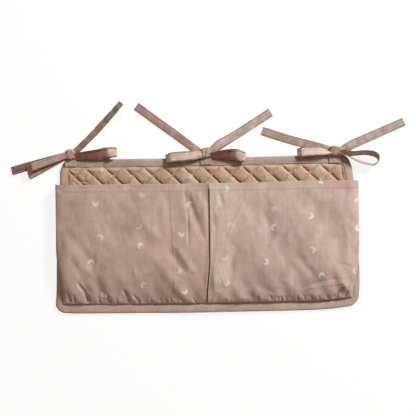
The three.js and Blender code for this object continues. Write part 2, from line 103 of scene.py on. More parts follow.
# Heights of the puckers and of the soft waves, and how far apart the soft waves are
EDGE_WAVES = (0.5, 0.45, 26)
TOP_WAVES = (0.55, 0.5, 24)
CORNER_GAP = LAYER_GAP / CORNER_RADIUS

# Pockets
MOUTH_Y = HALF_HEIGHT - 50.5
POCKET_BOTTOM_Y = -HALF_HEIGHT + BOTTOM_BINDING_WIDTH + 0.5
POCKET_SIDE_INSET = 1
POCKET_TAPER = 14
POCKET_TAPER_HEIGHT = 118
POCKET_CLOTH = 1.2
HEM_SEAM_Y = MOUTH_Y - 16
HEM_EXTRA = 0.5
POCKET_SEAM_Z = PANEL_THICKNESS + LAYER_GAP
POCKET_MID_RISE = 17.5
POCKET_MOUTH_DROP = 3
SWELL_ROUND = {-1: 0.35, 1: 0.9}
POCKET_EDGE_RISE = 10
POCKET_EDGE_ROUND = 26
POCKET_LIFT_OFF = 62
CENTRE_X = 5.5
CENTRE_SWERVE = 6.5
CENTRE_SWERVE_FROM = 40
CENTRE_GAP = 1.15
CENTRE_RIDGE = {-1: 3, 1: 5.5}
RIDGE_REACH = {-1: 30, 1: 52}
GATHER_SPACING = 36
GATHER_HEIGHT = 1.32
GATHER_RISE = 11.3
GATHER_REACH = 34
FOLD_HEIGHT = 1.92
FOLD_SPACING = 118
FOLD_SLOPE = 0.55
UNEVENNESS = {-1: 1.1, 1: 0.8}

# Side folds of the pockets
GUSSET_CLOTH = 0.9
GUSSET_DEPTH = 19
GUSSET_SEAM_INSET = 3
GUSSET_START = 34

# Ties
TAPE_THICKNESS = 1.6
TAPE_STEP = 1.1
TAPE_COLUMNS = 17
TAPE_STITCH_COLUMNS = (2, 14)
KNOT_RADIUS = 10
KNOT_HEIGHT = 13
KNOT_Y = HALF_HEIGHT + KNOT_RADIUS + LAYER_GAP
KNOT_Z = PANEL_THICKNESS / 2 + KNOT_HEIGHT / 2
LIMB_START = KNOT_RADIUS + 0.4
LIMB_CUP = {"loop_left": 2, "loop_right": -1.2, "tail_left": 0.9, "tail_right": 0.9}
ANCHOR_WIDTH = 23
ANCHOR_NECK = 20.5
ANCHOR_INSET = 1.5
ANCHOR_STITCH_INSET = 2.2
BOW_X = {"left": -268.6, "centre": 0.8, "right": 256.2}

# The band round each knot: its width, its turn in degrees and the depth of its pleats
KNOT_BANDS = {"left": (15.5, -24, 0.8), "centre": (19, 3, 1.4), "right": (18.5, -6, 0.7)}

# How far along these loops, from the knot, the tape's inner face gets painted shade: a darker tape
# stands in for the shade inside the loop
PAINTED_SHADE_REACH = {("left", "loop_right"): 68, ("centre", "loop_right"): 53}

# Cloth simulation: its rows and columns, then pressure, bending stiffness and furthest way
QUILT_SIM = ((118, 241), (1.2, 0.6, 1.2))
POCKET_SIM = ((64, 91), (0.6, 0.08, 3.5))
SIM_FRAMES = 20
SIM_SETTINGS = {
    "vertex_group_mass": "held", "quality": 6, "mass": 0.15, "tension_stiffness": 12,
    "compression_stiffness": 12, "shear_stiffness": 4, "air_damping": 2, "use_pressure": True,
}

# Threads: a stitch's stations are (place along it, share of its thickness)
STITCH_PITCH = 3.2
STITCH_LENGTH = 2.4
THREAD_WIDTH = 0.62
FINE_THREAD_WIDTH = 0.5
THREAD_STAND = 0.12
THREAD_FLATNESS = 0.36
THREAD_SIDES = 6
THREAD_STATIONS = [(-0.5, 0.3), (-0.4, 0.85), (0, 1), (0.4, 0.85), (0.5, 0.3)]

# Print
CRESCENT_CELL = (86, 62)
CRESCENT_RADIUS = 6.3
CRESCENT_BITE = 4.6
CRESCENT_SHIFT = 4.6
CRESCENT_BLUR = 1.4
CRESCENT_STRAY = 15

# Camera
VIEW_CENTRE = (3.2, 53.4)
VIEW_WIDTH = 823.7
VIEW_HEIGHT = 2400
VIEW_PLANE_Z = 12
VIEW_TURN = -0.8
SENSOR_WIDTH = 36

NOISE_KNOTS = 97
SHARP_ANGLE = 48
WHITE = (1, 1, 1, 1)

# Each limb of a bow: its direction in degrees, and stations from the knot outwards. A station
# is (distance, sideways, height, lean, width): lean 0 is flat, 90 stands on edge.
BOWS = {
    ("left", "loop_left"): (197.8, [
        (-3, -1.4, 12.6, 18, 13), (8, -1, 13.6, 18, 14.5), (30, -0.6, 14.6, 16, 15.5),
        (52, -0.6, 15.6, 14, 16), (66, 0, 16, 12, 16.5), (69.5, 1, 15.2, 10, 16.5),
        (75, 5.5, 12.4, 8, 18), (81, 10.5, 9.4, 6, 20), (80.5, 11.5, 8, 6, 20),
        (64, 10.4, 7.4, 8, 18), (40, 7.4, 7.4, 10, 16), (16, 4, 8, 10, 14), (-3, 1, 8.8, 10, 13),
    ]),
    ("left", "loop_right"): (3.2, [
        (-3, -5, 12, 34, 13), (8, -5, 14.2, 37, 17.5), (30, -4.9, 17, 38, 23.5),
        (54, -4.4, 18.4, 37, 27.5), (64, -3.6, 18, 28, 26), (70, -2.4, 16.6, 0, 22.5),
        (77, -2, 15, -14, 20), (82, -2, 12, -8, 18.5), (78, -3, 9.4, 4, 17), (64, -5, 9.2, 6, 16.5),
        (42, -5.4, 9.2, 6, 16), (16, -4.8, 9.2, 8, 14.5), (-3, -3.4, 8, 20, 12),
    ]),
    ("left", "tail_left"): (194.5, [
        (-3, 0, 4.6, 0, 14), (20, 0, 3, 10, 16), (45, 0, 3, 17, 17.2), (111, 0.8, 3.2, 17, 17.8),
    ]),
    ("left", "tail_right"): (45, [
        (-3, -3.4, 6.4, -10, 13), (12, -3.8, 6.4, -30, 15.5), (34, -4.4, 6.8, -38, 16.5),
        (66, -4.2, 7.2, -34, 17), (100, -3, 7.4, -36, 16.5), (134, -1.4, 7.6, -44, 16),
    ]),
    ("centre", "loop_left"): (187.4, [
        (-3, 1.8, 12.8, 16, 14), (10, 2, 14.4, 12, 18), (30, 1.4, 15.8, 10, 19.6),
        (50, 0.4, 16.6, 10, 20.2), (58.5, 0.4, 16.8, 10, 20.2), (61.5, 0.8, 16, 10, 20),
        (66, 1.6, 12.6, 10, 19), (69, 2.4, 9.8, 10, 18.4), (64, 3, 8.6, 10, 18),
        (40, 3, 8.6, 10, 17), (16, 2.4, 8.8, 8, 15), (-3, 1.4, 9, 6, 13),
    ]),
    ("centre", "loop_right"): (353.6, [
        (-3, -4, 12, 40, 12), (8, -3.6, 14.6, 40, 17.5), (22, -2.6, 17.2, 38, 25.5),
        (40, 0, 18.8, 36, 28.5), (49, 0.8, 18.4, 28, 26), (55, 0.4, 17, 0, 22.5),
        (63, -0.8, 15, -14, 20), (67.5, -1.8, 12, -6, 18.5), (64, -2.6, 9.6, 4, 17),
        (52, -3.2, 9.2, 6, 16.5), (36, -3.8, 9.2, 6, 16), (16, -4.2, 9.2, 8, 14.5),
        (-3, -3.6, 8, 20, 12),
    ]),
    ("centre", "tail_left"): (145.4, [
        (-3, 6, 4.6, 0, 14), (16, 6.2, 4.4, -12, 15.6), (45, 5, 3.8, -16, 16.6),
        (156.5, 0.6, 3.4, -16, 17),
    ]),
    ("centre", "tail_right"): (32.2, [
        (-3, -3, 4.6, 0, 14), (8, -2.4, 4.6, -4, 17), (20, -1, 4.4, 2, 19.5),
        (34, -1.6, 3.4, 2, 18), (60, -2.4, 2, 3, 17), (141.5, -2.4, 1.8, 3, 17),
    ]),
    ("right", "loop_left"): (182.9, [
        (-3, 3.4, 12.4, 30, 6), (6, 2.4, 13.6, 26, 9), (13, 0.4, 14.8, 20, 14),
        (20, -0.8, 15.6, 16, 16.6), (40, -1.8, 16.4, 12, 18), (53.5, -2.2, 16.8, 10, 18.6),
        (56.5, -2, 16, 9, 18.6), (60.5, -0.8, 12.6, 8, 18.4), (64.5, 1, 9.2, 8, 18.4),
        (60, 2, 8.6, 8, 18), (36, 2.2, 8.6, 8, 16.6), (14, 2, 8.8, 8, 14), (-3, 1.4, 9, 6, 12),
    ]),
    ("right", "loop_right"): (348.1, [
        (-3, -1, 11.6, 44, 13), (14, 0.6, 11.4, 46, 14.6), (26, 2.2, 11, 50, 15.2),
        (48, 7.6, 10.2, 54, 15.8), (66, 8.6, 9.8, 52, 16), (76, 4.4, 9.6, 62, 16),
        (77.5, -5, 9.6, 82, 16), (70, -13, 9.4, 102, 16), (52, -11.6, 9.6, 108, 16),
        (32, -8.2, 10, 108, 15.8), (14, -4.8, 11, 100, 14), (-3, -2.6, 11.6, 70, 12),
    ]),
    ("right", "tail_left"): (163.4, [
        (-3, 0.6, 4.6, 0, 14), (18, 1.2, 3.6, -6, 16.4), (36, 1.6, 3, -8, 16.8),
        (62, 2.6, 2.6, -9, 17), (95, 2.6, 2.4, -9, 17), (139, 1, 2.4, -9, 17),
    ]),
    ("right", "tail_right"): (22.2, [
        (-1, -4.2, 5.2, 0, 12.5), (10, -3.4, 5, -6, 16.6), (30, -1.8, 3.8, -5, 17.4),
        (70, -1.2, 2.4, -4, 17), (139.5, -0.2, 2.2, -4, 16.4),
    ]),
}

# Creases of the pocket fronts: height (below zero for a valley), width, and x and y of each point
CREASES = {
    -1: [
        (-2.5, 8, -282, 22, -252, -18, -220, -62), (-1.8, 7, -236, -42, -219, -86, -205, -118),
        (-1.6, 6, -273, -38, -252, -70, -233, -118), (-3, 3, -260, -87, -245, -107, -232, -131),
        (-2.2, 2.4, -277, -109, -271, -131), (-2, 2, -265, -115, -262, -131),
        (-2.4, 2.6, -291, -89, -285, -125), (-1.8, 2, -241, -115, -238, -131),
        (-2, 2, -199, -112, -195, -132), (-3, 3, -167, -103, -160, -117, -154, -132),
        (-2, 2.4, -148, -115, -134, -133), (-1.5, 1.8, -217, -118, -214, -132),
        (-1.3, 1.8, -181, -120, -179, -132), (-1.3, 1.8, -114, -121, -110, -133),
        (-1.1, 1.6, -94, -123, -92, -133), (-1.6, 1.8, -75, -120, -71, -134),
        (-1.3, 1.8, -55, -122, -49, -134), (-1.1, 1.6, -31, -122, -23, -134),
        (0.6, 1.2, -72, 98, -69, 43, -65, -41, -64, -130), (-0.9, 6, -79, 90, -74, 31, -71, -29),
        (-1.3, 2.2, -43, 98, -37, 43, -36, -29), (-3.4, 7, -44, 94, -26, 46, -4, -14),
        (1.5, 6, -22, 93, -7, 63, 5, 26), (1.7, 8, -150, 62, -122, 26, -94, -12),
        (2, 8, -118, -24, -82, -74, -46, -124), (-1.6, 6, -84, -20, -62, -48, -38, -78),
        (1.2, 5, -70, -12, -48, -40, -22, -78), (0.5, 1.5, -151, -30, -138, -103),
    ],
    1: [
        (-1.5, 4, 25, 85, 31, 59), (0.6, 1.5, 107, 82, 72, 37, 49, -3), (0.5, 1.2, 81, 96, 77, 68),
        (0.6, 2, 87, 88, 63, 45, 38, -10), (0.4, 1.2, 99, 96, 83, 58),
        (1.5, 12, 39, 69, 24, -10, 13, -109), (0.4, 1.5, 12, -20, 23, -70, 39, -113),
        (-1.5, 6, 66, -11, 49, -54, 41, -100), (-1.2, 5, 109, -61, 88, -100, 82, -130),
        (-1.2, 5, 154, -75, 124, -121), (-2.2, 8, 270, 2, 253, -53, 243, -100),
        (1.4, 8, 289, -10, 275, -65), (0.6, 2.5, 177, -115, 215, -105, 262, -101, 280, -93),
        (-0.6, 2.5, 183, -107, 219, -96, 259, -91), (-0.6, 2, 168, -80, 167, -125),
        (-1.4, 6, 176, -38, 194, -68, 209, -84), (0.8, 7, 134, 67, 143, -4),
        (-3.4, 3, 247, -134, 256, -120, 268, -108), (2.6, 6, 262, -104, 274, -111, 283, -120),
        (-1.2, 7, 270, 100, 274, 60, 276, 16), (-2.6, 2.4, 268, -134, 272, -122, 279, -108),
        (-1.4, 5, 110, 58, 125, 4, 117, -35), (-1.5, 1.7, 97, -121, 100, -131),
        (-2, 1.7, 123, -121, 125, -131), (-1.9, 1.7, 137, -122, 139, -132),
        (-1.7, 1.7, 143, -122, 145, -132), (-1.5, 1.7, 152, -122, 154, -132),
        (-2, 1.7, 175, -122, 177, -132), (-1.5, 1.7, 188, -122, 190, -132),
        (-1.9, 1.7, 202, -123, 205, -133), (-1.3, 1.7, 216, -123, 218, -133),
        (-1.8, 1.7, 234, -123, 236, -133), (-1.2, 1.7, 246, -123, 248, -133),
    ],
}

# Creases of the quilted face at its upper corners
QUILT_CREASES = [
    (-2.4, 2.2, -272, 124, -254, 110, -234, 108), (-2.2, 1.8, -272, 134, -257, 130, -245, 134),
    (-1.8, 2, -268, 112, -252, 100), (-1.6, 1.8, -238, 124, -244, 112),
    (-6, 2.6, 268, 144, 270, 120, 272, 92),
]


def smooth(value):
    share = np.clip(value, 0, 1)
    return share * share * (3 - 2 * share)


def mix(a, b, share):
    return a + (b - a) * share


def bell(x, y, x0, y0, reach):
    """A round hump of height 1 at (x0, y0)."""
    return np.exp(-((x - x0) ** 2 + (y - y0) ** 2) / reach ** 2)


def noise(x, y, size_x, size_y, seed):
    """Smooth random heights from -1 to 1, with a knot every size_x by size_y millimetres."""
    lattice = np.random.default_rng(seed).uniform(-1, 1, (NOISE_KNOTS, NOISE_KNOTS))
    u, v = np.asarray(x) / size_x, np.asarray(y) / size_y
    i, j = np.floor(u).astype(int), np.floor(v).astype(int)

    def along_row(row):
        left, right = (lattice[column % NOISE_KNOTS, row % NOISE_KNOTS] for column in (i, i + 1))
        return mix(left, right, smooth(u - i))

    return mix(along_row(j), along_row(j + 1), smooth(v - j))


def half_width(y, inset=0.0):
    """Half of the panel's width at height y: drawn in near the top, rounded at the corners."""
    rise = np.clip((y + HALF_HEIGHT) / PANEL_HEIGHT, 0, 1)
    shoulder = smooth((y - HALF_HEIGHT + SHOULDER_HEIGHT) / SHOULDER_HEIGHT)
    side = PANEL_WIDTH / 2 - TOP_DRAW_IN * rise ** 2 - SHOULDER * shoulder - inset
    rounding = np.clip(y - HALF_HEIGHT + TOP_CORNER_RADIUS, 0, TOP_CORNER_RADIUS)
    side = side - TOP_CORNER_RADIUS + np.sqrt(TOP_CORNER_RADIUS ** 2 - rounding ** 2)
    radius = CORNER_RADIUS - inset
    into = np.clip(radius - (y + HALF_HEIGHT - inset), 0, radius)
    return side - radius + np.sqrt(radius ** 2 - into ** 2)


def sewn_out_of_true(points):
    """The panel's departures from square: a pulled lower right corner, a bowed lower edge."""
    x, y, z = points.T
    to_right, to_left = smooth(x / 290), smooth(-x / 290)
    low = smooth((-40 - y) / (HALF_HEIGHT - 40))
    left_corner = bell(x, y, -300, -150, 30)
    right_corner = bell(x, y, 300, -150, 46)
    right_tip = bell(x, y, 300, -150, 30)
    right_pull = RIGHT_PULL * to_right * smooth((HALF_HEIGHT - 20 - y) / 40)
    left_pull = LEFT_PULL * to_left * smooth((y + 60) / 70) * smooth((130 - y) / 20)
    tuck = to_right * smooth((-20 - y) / 60) - 2.6 * left_corner - 3.6 * right_tip
    lift = CORNER_LIFT * right_corner + EDGE_LIFT * smooth((x - 120) / 180) + 2 * left_corner
    sag = low * EDGE_SAG * np.exp(-((x + 40) / 110) ** 2)
    top_lift = TOP_LIFT * smooth((x - 30) / 150) * smooth((y - 60) / 80)
    return np.stack([x + right_pull + left_pull + tuck, y + low * lift - sag + top_lift, z], -1)


def layer(x, y, z):
    """Points over a grid of places, at one height or each at its own."""
    return np.stack([x, y, np.broadcast_to(z, np.shape(x))], -1)


def rows_of(levels, columns):
    return np.repeat(levels[:, None], columns, 1)


def unit(vectors):
    return vectors / np.linalg.norm(vectors, axis=-1, keepdims=True)


def heading(degrees):
    return math.cos(math.radians(degrees)), math.sin(math.radians(degrees))


def reach_of(path):
    """How far along a path each of its points lies."""
    return np.concatenate([[0], np.cumsum(np.linalg.norm(np.diff(path, axis=0), axis=1))])


def between(places, known, points):
    """Points at the given places, between points at known places."""
    return np.stack([np.interp(places, known, points[:, k]) for k in range(3)], -1)


def grid_faces(rows, columns):
    index = np.arange(rows * columns).reshape(rows, columns)
    corners = [index[:-1, :-1], index[:-1, 1:], index[1:, 1:], index[1:, :-1]]
    return np.stack(corners, -1).reshape(-1, 4)


def new_object(name, data):
    made = bpy.data.objects.new(name, data)
    bpy.context.scene.collection.objects.link(made)
    return made


class Shape:
    """Points, faces and material slots of one mesh, gathered piece by piece, in millimetres."""

    def __init__(self):
        self.points, self.faces, self.slots, self.count = [], [], [], 0

    def add(self, points, faces, slot=0):
        points = np.asarray(points, float).reshape(-1, 3)
        for group in faces:
            self.faces.extend((group + self.count).tolist())
            self.slots.extend([slot] * len(group))
        self.points.append(points)
        self.count += len(points)

    def sheet(self, upper, lower):
        """A closed body between two grids of points."""
        rows, columns = upper.shape[:2]
        count = rows * columns
        index = np.arange(count).reshape(rows, columns)
        top = grid_faces(rows, columns)
        rim = np.concatenate([index[0, :-1], index[:-1, -1], index[-1, :0:-1], index[:0:-1, 0]])
        after = np.roll(rim, -1)
        edge = np.stack([rim, rim + count, after + count, after], -1)
        self.add([upper, lower], [top, top[:, ::-1] + count, edge])

    def loft(self, rings, closed=False, slot=0):
        """A body through rings of points, capped at both ends unless it closes on itself."""
        rows, size = rings.shape[:2]
        index = np.arange(rows * size).reshape(rows, size)
        ahead = np.roll(index, -1, axis=0)
        quads = np.stack([index, np.roll(index, -1, 1), np.roll(ahead, -1, 1), ahead], -1)
        if closed:
            self.add(rings, [quads.reshape(-1, 4)], slot)
        else:
            self.add(rings, [quads[:-1].reshape(-1, 4), index[:1, ::-1], index[-1:]], slot)

    def seam(self, path, up, pitch=STITCH_PITCH, length=STITCH_LENGTH, width=THREAD_WIDTH):
        """A row of short threads along a path, with their flat sides towards up.

        Up is one direction, or one for each point of the path.
        """
        reach = reach_of(path)
        places = np.arange(pitch / 2, reach[-1] - pitch / 4, pitch)
        centres = between(places, reach, path)
        along = unit(between(places + 0.5, reach, path) - between(places - 0.5, reach, path))
        if np.ndim(up) == 2:
            up = up[np.argmin(np.linalg.norm(path[None] - centres[:, None], axis=2), axis=1)]
        across = unit(np.cross(up, along))
        axes = np.stack([along, across, np.cross(along, across)], 1)
        local = np.array([
            [s * length, math.cos(t) * width / 2 * r, math.sin(t) * width * THREAD_FLATNESS * r]
            for s, r in THREAD_STATIONS
            for t in np.arange(THREAD_SIDES) * 2 * math.pi / THREAD_SIDES
        ])
        for thread in centres[:, None, :] + np.einsum("pk,nkc->npc", local, axes):
            self.loft(thread.reshape(-1, THREAD_SIDES, 3), slot=1)

    def build(self, name, materials, sewn=False):
        points = np.concatenate(self.points)
        if sewn:
            points = sewn_out_of_true(points)
        mesh = bpy.data.meshes.new(name)
        mesh.from_pydata((points * MM).tolist(), [], self.faces)
        for material in materials:
            mesh.materials.append(material)
        mesh.polygons.foreach_set("material_index", self.slots)
        work = bmesh.new()
        work.from_mesh(mesh)
        bmesh.ops.recalc_face_normals(work, faces=work.faces)
        work.to_mesh(mesh)
        work.free()
        mesh.shade_smooth()
        mesh.set_sharp_from_angle(angle=math.radians(SHARP_ANGLE))
        return new_object(name, mesh)


def settled(place, height, held, levels, shares, counts, cloth):
    """How far cloth blown up by pressure moves at each level and share, in millimetres.

    It is simulated on a coarser grid. Place gives the grid's x and y, height their height, and
    held which of them stay put. Cloth is its (pressure, bending, furthest way).
    """
    rows, columns = (np.linspace(v[0], v[-1], n) for v, n in zip((levels, shares), counts))
    x, y = place(rows, columns)
    points = layer(x, y, height(x, y)).reshape(-1, 3)
    mesh = bpy.data.meshes.new("settling")
    mesh.from_pydata((points * MM).tolist(), [], grid_faces(*counts).tolist())
    made = new_object("settling", mesh)
    group = made.vertex_groups.new(name="held")
    group.add(np.flatnonzero(held(x, y)).tolist(), 1, "REPLACE")
    modifier = made.modifiers.new("cloth", "CLOTH")
    settings = modifier.settings
    for name, value in SIM_SETTINGS.items():
        setattr(settings, name, value)
    settings.uniform_pressure_force, settings.bending_stiffness, furthest = cloth
    settings.effector_weights.gravity = 0
    modifier.point_cache.frame_start = 1
    modifier.point_cache.frame_end = SIM_FRAMES
    for frame_number in range(1, SIM_FRAMES + 1):
        bpy.context.scene.frame_set(frame_number)
    shown = made.evaluated_get(bpy.context.evaluated_depsgraph_get()).to_mesh()
    ended = np.empty(points.size)
    shown.vertices.foreach_get("co", ended)
    bpy.context.scene.frame_set(1)
    bpy.data.objects.remove(made)
    bpy.data.meshes.remove(mesh)
    moved = ended.reshape(-1, 3) / MM - points
    far = np.linalg.norm(moved, axis=1, keepdims=True)
    moved *= np.minimum(1, furthest / np.maximum(far, 1e-6))
    across = np.stack([between(shares, columns, row) for row in moved.reshape(*counts, 3)])
    return np.stack([between(levels, rows, column) for column in across.swapaxes(0, 1)], 1)


def add_node(tree, kind, inputs, **settings):
    """Add a node; its inputs, by name or number, take plain values or other nodes' outputs."""
    node = tree.nodes.new("ShaderNode" + kind)
    for name, value in settings.items():
        setattr(node, name, value)
    for key, value in inputs.items():
        if isinstance(value, bpy.types.NodeSocket):
            tree.links.new(value, node.inputs[key])
        else:
            node.inputs[key].default_value = value
    return node.outputs


class Graph:
    """Short ways to add and join the nodes of one cloth's material."""

    def __init__(self, name, roughness, sheen):
        self.material = bpy.data.materials.new(name)
        self.material.use_nodes = True
        self.tree = self.material.node_tree
        self.shader = self.tree.nodes["Principled BSDF"].inputs
        for key, value in (("Roughness", roughness), ("Sheen Weight", sheen),
                           ("Sheen Roughness", 0.5), ("Specular IOR Level", 0.25)):
            self.shader[key].default_value = value
        self.place = self.node("TexCoord", {})["Object"]
        self.colour = None

    def node(self, kind, inputs, **settings):
        return add_node(self.tree, kind, inputs, **settings)

    def math(self, operation, *values):
        return self.node("Math", dict(enumerate(values)), operation=operation)[0]

    def times(self, a, b):
        return self.math("MULTIPLY", a, b)

    def minus(self, a, b):
        return self.math("SUBTRACT", a, b)

    def plus(self, a, b):
        return self.math("ADD", a, b)

    def axes(self):
        return self.node("SeparateXYZ", {0: self.place})

    def noise_at(self, place, scales, detail):
        spot = self.node("VectorMath", {0: place, 1: scales}, operation="MULTIPLY")[0]
        return self.node("TexNoise", {"Scale": 1, "Detail": detail, "Vector": spot})["Fac"]

    def noise(self, sizes, detail=2):
        """Noise with a knot every size, in millimetres along each axis."""
        return self.noise_at(self.place, [1 / (size * MM) for size in sizes], detail)

    def spread(self, value, low, high):
        """Value from low to high stretched to 0 to 1, smoothly."""
        ends = {"Value": value, "From Min": low, "From Max": high}
        return self.node("MapRange", ends, interpolation_type="SMOOTHSTEP")["Result"]

    def patches(self, sizes, low, high, detail=3):
        return self.spread(self.noise(sizes, detail), low, high)

    def blend(self, share, first, second):
        """A mix of two colours; inputs 6 and 7 are the node's colours A and B."""
        return self.node("Mix", {0: share, 6: first, 7: second}, data_type="RGBA")[2]

    def tint(self, share, amount, colour):
        """Blend another colour into the cloth's own."""
        self.colour = self.blend(self.times(share, amount), self.colour, colour)

    def finish(self, height, depth):
        bump = self.node("Bump", {"Strength": 1, "Distance": depth * MM, "Height": height})
        self.tree.links.new(bump["Normal"], self.shader["Normal"])
        self.tree.links.new(self.colour, self.shader["Base Color"])
        return self.material


def rgb(code):
    """A colour such as "b69a8d" in the renderer's linear values."""
    parts = [int(code[k:k + 2], 16) / 255 for k in (0, 2, 4)]
    linear = [p / 12.92 if p <= 0.04045 else ((p + 0.055) / 1.055) ** 2.4 for p in parts]
    return (*linear, 1)


def weave(graph, pitch):
    """Plain weave as a height: threads pass over and under each other."""
    x, y, z = graph.axes()
    turn = 2 * math.pi / (pitch * MM)
    across = graph.math("SINE", graph.times(x, turn))
    along = graph.math("SINE", graph.times(graph.plus(y, z), turn))
    return graph.math("MULTIPLY_ADD", graph.times(across, along), 0.5, 0.5)


def crescents(graph):
    """Share of print colour: small crescents, one to a cell, turned at random, in half drops."""
    x, y, _ = graph.axes()
    wide, tall = CRESCENT_CELL
    across = graph.math("DIVIDE", x, wide * MM)
    column = graph.math("FLOOR", across)
    drop = graph.times(graph.math("FLOORED_MODULO", column, 2), 0.5)
    up = graph.plus(graph.math("DIVIDE", y, tall * MM), drop)
    row = graph.math("FLOOR", up)
    cell = graph.node("CombineXYZ", {0: column, 1: row})[0]
    chance = graph.node("TexWhiteNoise", {"Vector": cell}, noise_dimensions="3D")["Color"]
    first, second, third = graph.node("SeparateColor", {0: chance})
    offsets = []
    for place, number, size, stray in ((across, column, wide, first), (up, row, tall, second)):
        inside = graph.times(graph.minus(graph.minus(place, number), 0.5), size)
        moved = graph.times(graph.minus(stray, 0.5), 2 * CRESCENT_STRAY)
        offsets.append(graph.minus(inside, moved))
    turn = graph.times(third, 2 * math.pi)
    distances = []
    for shift in (0, CRESCENT_SHIFT):
        dx, dy = (
            graph.minus(offset, graph.times(graph.math(wave, turn), shift))
            for offset, wave in zip(offsets, ("COSINE", "SINE"))
        )
        squares = graph.plus(graph.times(dx, dx), graph.times(dy, dy))
        distances.append(graph.math("SQRT", squares))
    blur = CRESCENT_BLUR
    disc = graph.spread(distances[0], CRESCENT_RADIUS + blur, CRESCENT_RADIUS - blur)
    bite = graph.spread(distances[1], CRESCENT_BITE - blur, CRESCENT_BITE + blur)
    worn = graph.math("MULTIPLY_ADD", second, 0.6, 0.4)
    return graph.times(graph.times(disc, bite), worn)


def cloth_material(name, main, other, pitch=0.5, printed=False, painted_light_span=None):
    """Woven cotton: two tones in soft patches, slubs along both threads, and a plain weave.

    With painted_light_span = (x0, x1) a painted pool of light makes the cloth paler at x0, and it
    has its full colour from x1 on.
    """
    graph = Graph(name, 0.88, 0.12)
    graph.colour = graph.blend(graph.patches((70, 90, 70), 0.32, 0.68), rgb(main), rgb(other))
    if painted_light_span:
        x, _, _ = graph.axes()
        # Painted light: the cloth is blended paler towards x0, where light falls on the pocket
        graph.tint(graph.spread(x, painted_light_span[1] * MM, painted_light_span[0] * MM), 0.42, rgb("cfc0ad"))
    graph.tint(graph.patches((19, 27, 19), 0.4, 0.64), 0.2, (0.2, 0.13, 0.105, 1))
    graph.tint(graph.patches((26, 38, 26), 0.5, 0.7), 0.3, rgb("c6b4a2"))
    slub_up = graph.noise((1.3, 34, 8))
    slub_across = graph.noise((26, 1.1, 6))
    slubs = graph.spread(graph.math("MULTIPLY_ADD", slub_across, 0.45, slub_up), 0.5, 0.95)
    graph.tint(slubs, 0.14, (0.13, 0.075, 0.06, 1))
    if printed:
        ink = graph.times(crescents(graph), graph.spread(slub_up, 0.1, 0.5))
        graph.tint(ink, 0.76, rgb("d8d4d2"))
    return graph.finish(graph.plus(weave(graph, pitch), graph.times(slubs, 0.8)), 0.06)


def tape_material(name, main, other):
    """Folded cotton tape: ribs and streaks along its length and painted shade along both edges,
    placed by its UV map.
    """
    graph = Graph(name, 0.8, 0.25)
    uv = graph.node("UVMap", {}, uv_map="tape")[0]
    across, along, _ = graph.node("SeparateXYZ", {0: uv})
    ribs = graph.math("SINE", graph.times(across, 2 * math.pi / 0.9))
    threads = graph.math("SINE", graph.times(along, 2 * math.pi / 0.5))
    streak = graph.spread(graph.noise_at(uv, (0.38, 0.012, 1), 2), 0.3, 0.7)
    graph.colour = graph.blend(graph.patches((30, 30, 30), 0.3, 0.7), rgb(main), rgb(other))
    graph.tint(streak, 0.36, (0.13, 0.075, 0.055, 1))
    # Darker towards both edges of the tape: painted shade along its folded, stitched edges
    edge_painted_shade = graph.spread(graph.math("ABSOLUTE", across), 5.9, 8.1)
    graph.tint(edge_painted_shade, 0.85, (0.12, 0.06, 0.045, 1))
    paler = [min(1, part * gain) for part, gain in zip(rgb(main), (1.25, 1.38, 1.45, 1))]
    graph.tint(graph.patches((13, 13, 13), 0.45, 0.7, detail=2), 0.3, paler)
    height = graph.plus(graph.times(ribs, 0.5), graph.times(threads, 0.3))
    return graph.finish(graph.plus(height, streak), 0.09)


def thread_material():
    """Twisted sewing thread, a little lighter than the cloth."""
    graph = Graph("thread", 0.6, 0.2)
    x, y, _ = graph.axes()
    twist = graph.math("SINE", graph.times(graph.plus(x, y), 2 * math.pi / (0.4 * MM)))
    tone = graph.patches((9, 9, 9), 0.3, 0.7, detail=1)
    graph.colour = graph.blend(tone, rgb("c2a698"), rgb("b3968a"))
    return graph.finish(twist, 0.05)


POCKETS = {
    -1: cloth_material("pocket_cloth_left", "b69a8f", "b39b8f", printed=True),
    1: cloth_material("pocket_cloth_right", "b69b92", "b29d93", printed=True, painted_light_span=(25, 105)),
}
QUILT = cloth_material("quilt_cloth", "b0907d", "b39683", printed=True)
# The side folds are the pockets' own cloth; their darker, redder colour is painted shade for the
# deep slits beside the pockets
FOLDS_PAINTED_SHADE = cloth_material("side_fold_cloth", "ac8679", "a37d70")
LINING = cloth_material("lining_cloth", "bda396", "b49c90", pitch=0.6)
# One tape binds all four edges; its four tones are lit and shaded copies of one colour: painted
# light and shade by how each edge lies to the light
BINDINGS_LIT_AND_SHADED = {
    f"binding_{edge}": cloth_material(f"binding_cloth_{edge}", main, other, pitch=0.45)
    for edge, main, other in (
        ("top", "aa8f85", "a28c82"), ("left", "bb9b8a", "b39887"),
        ("right", "b19489", "a99186"), ("bottom", "b49a8f", "ac978c"),
    )
}
# The three knots are of one tape; their tones are lit and shaded copies of one colour, and the
# right knot's darker one is painted shade
KNOTS = {
    bow: cloth_material(f"knot_cloth_{bow}", main, other, pitch=0.45)
    for bow, main, other in (
        ("left", "ab9082", "9c8073"), ("centre", "ae9888", "9f8779"), ("right", "9b8175", "8d7367"),
    )
}
TIE = tape_material("tie_tape", "bca599", "ad9386")
# The darker tape for the loops' inner faces: painted shade, standing in for the shade inside a loop
TIE_PAINTED_SHADE = tape_material("tie_tape_painted_shade", "a97f70", "9b7162")
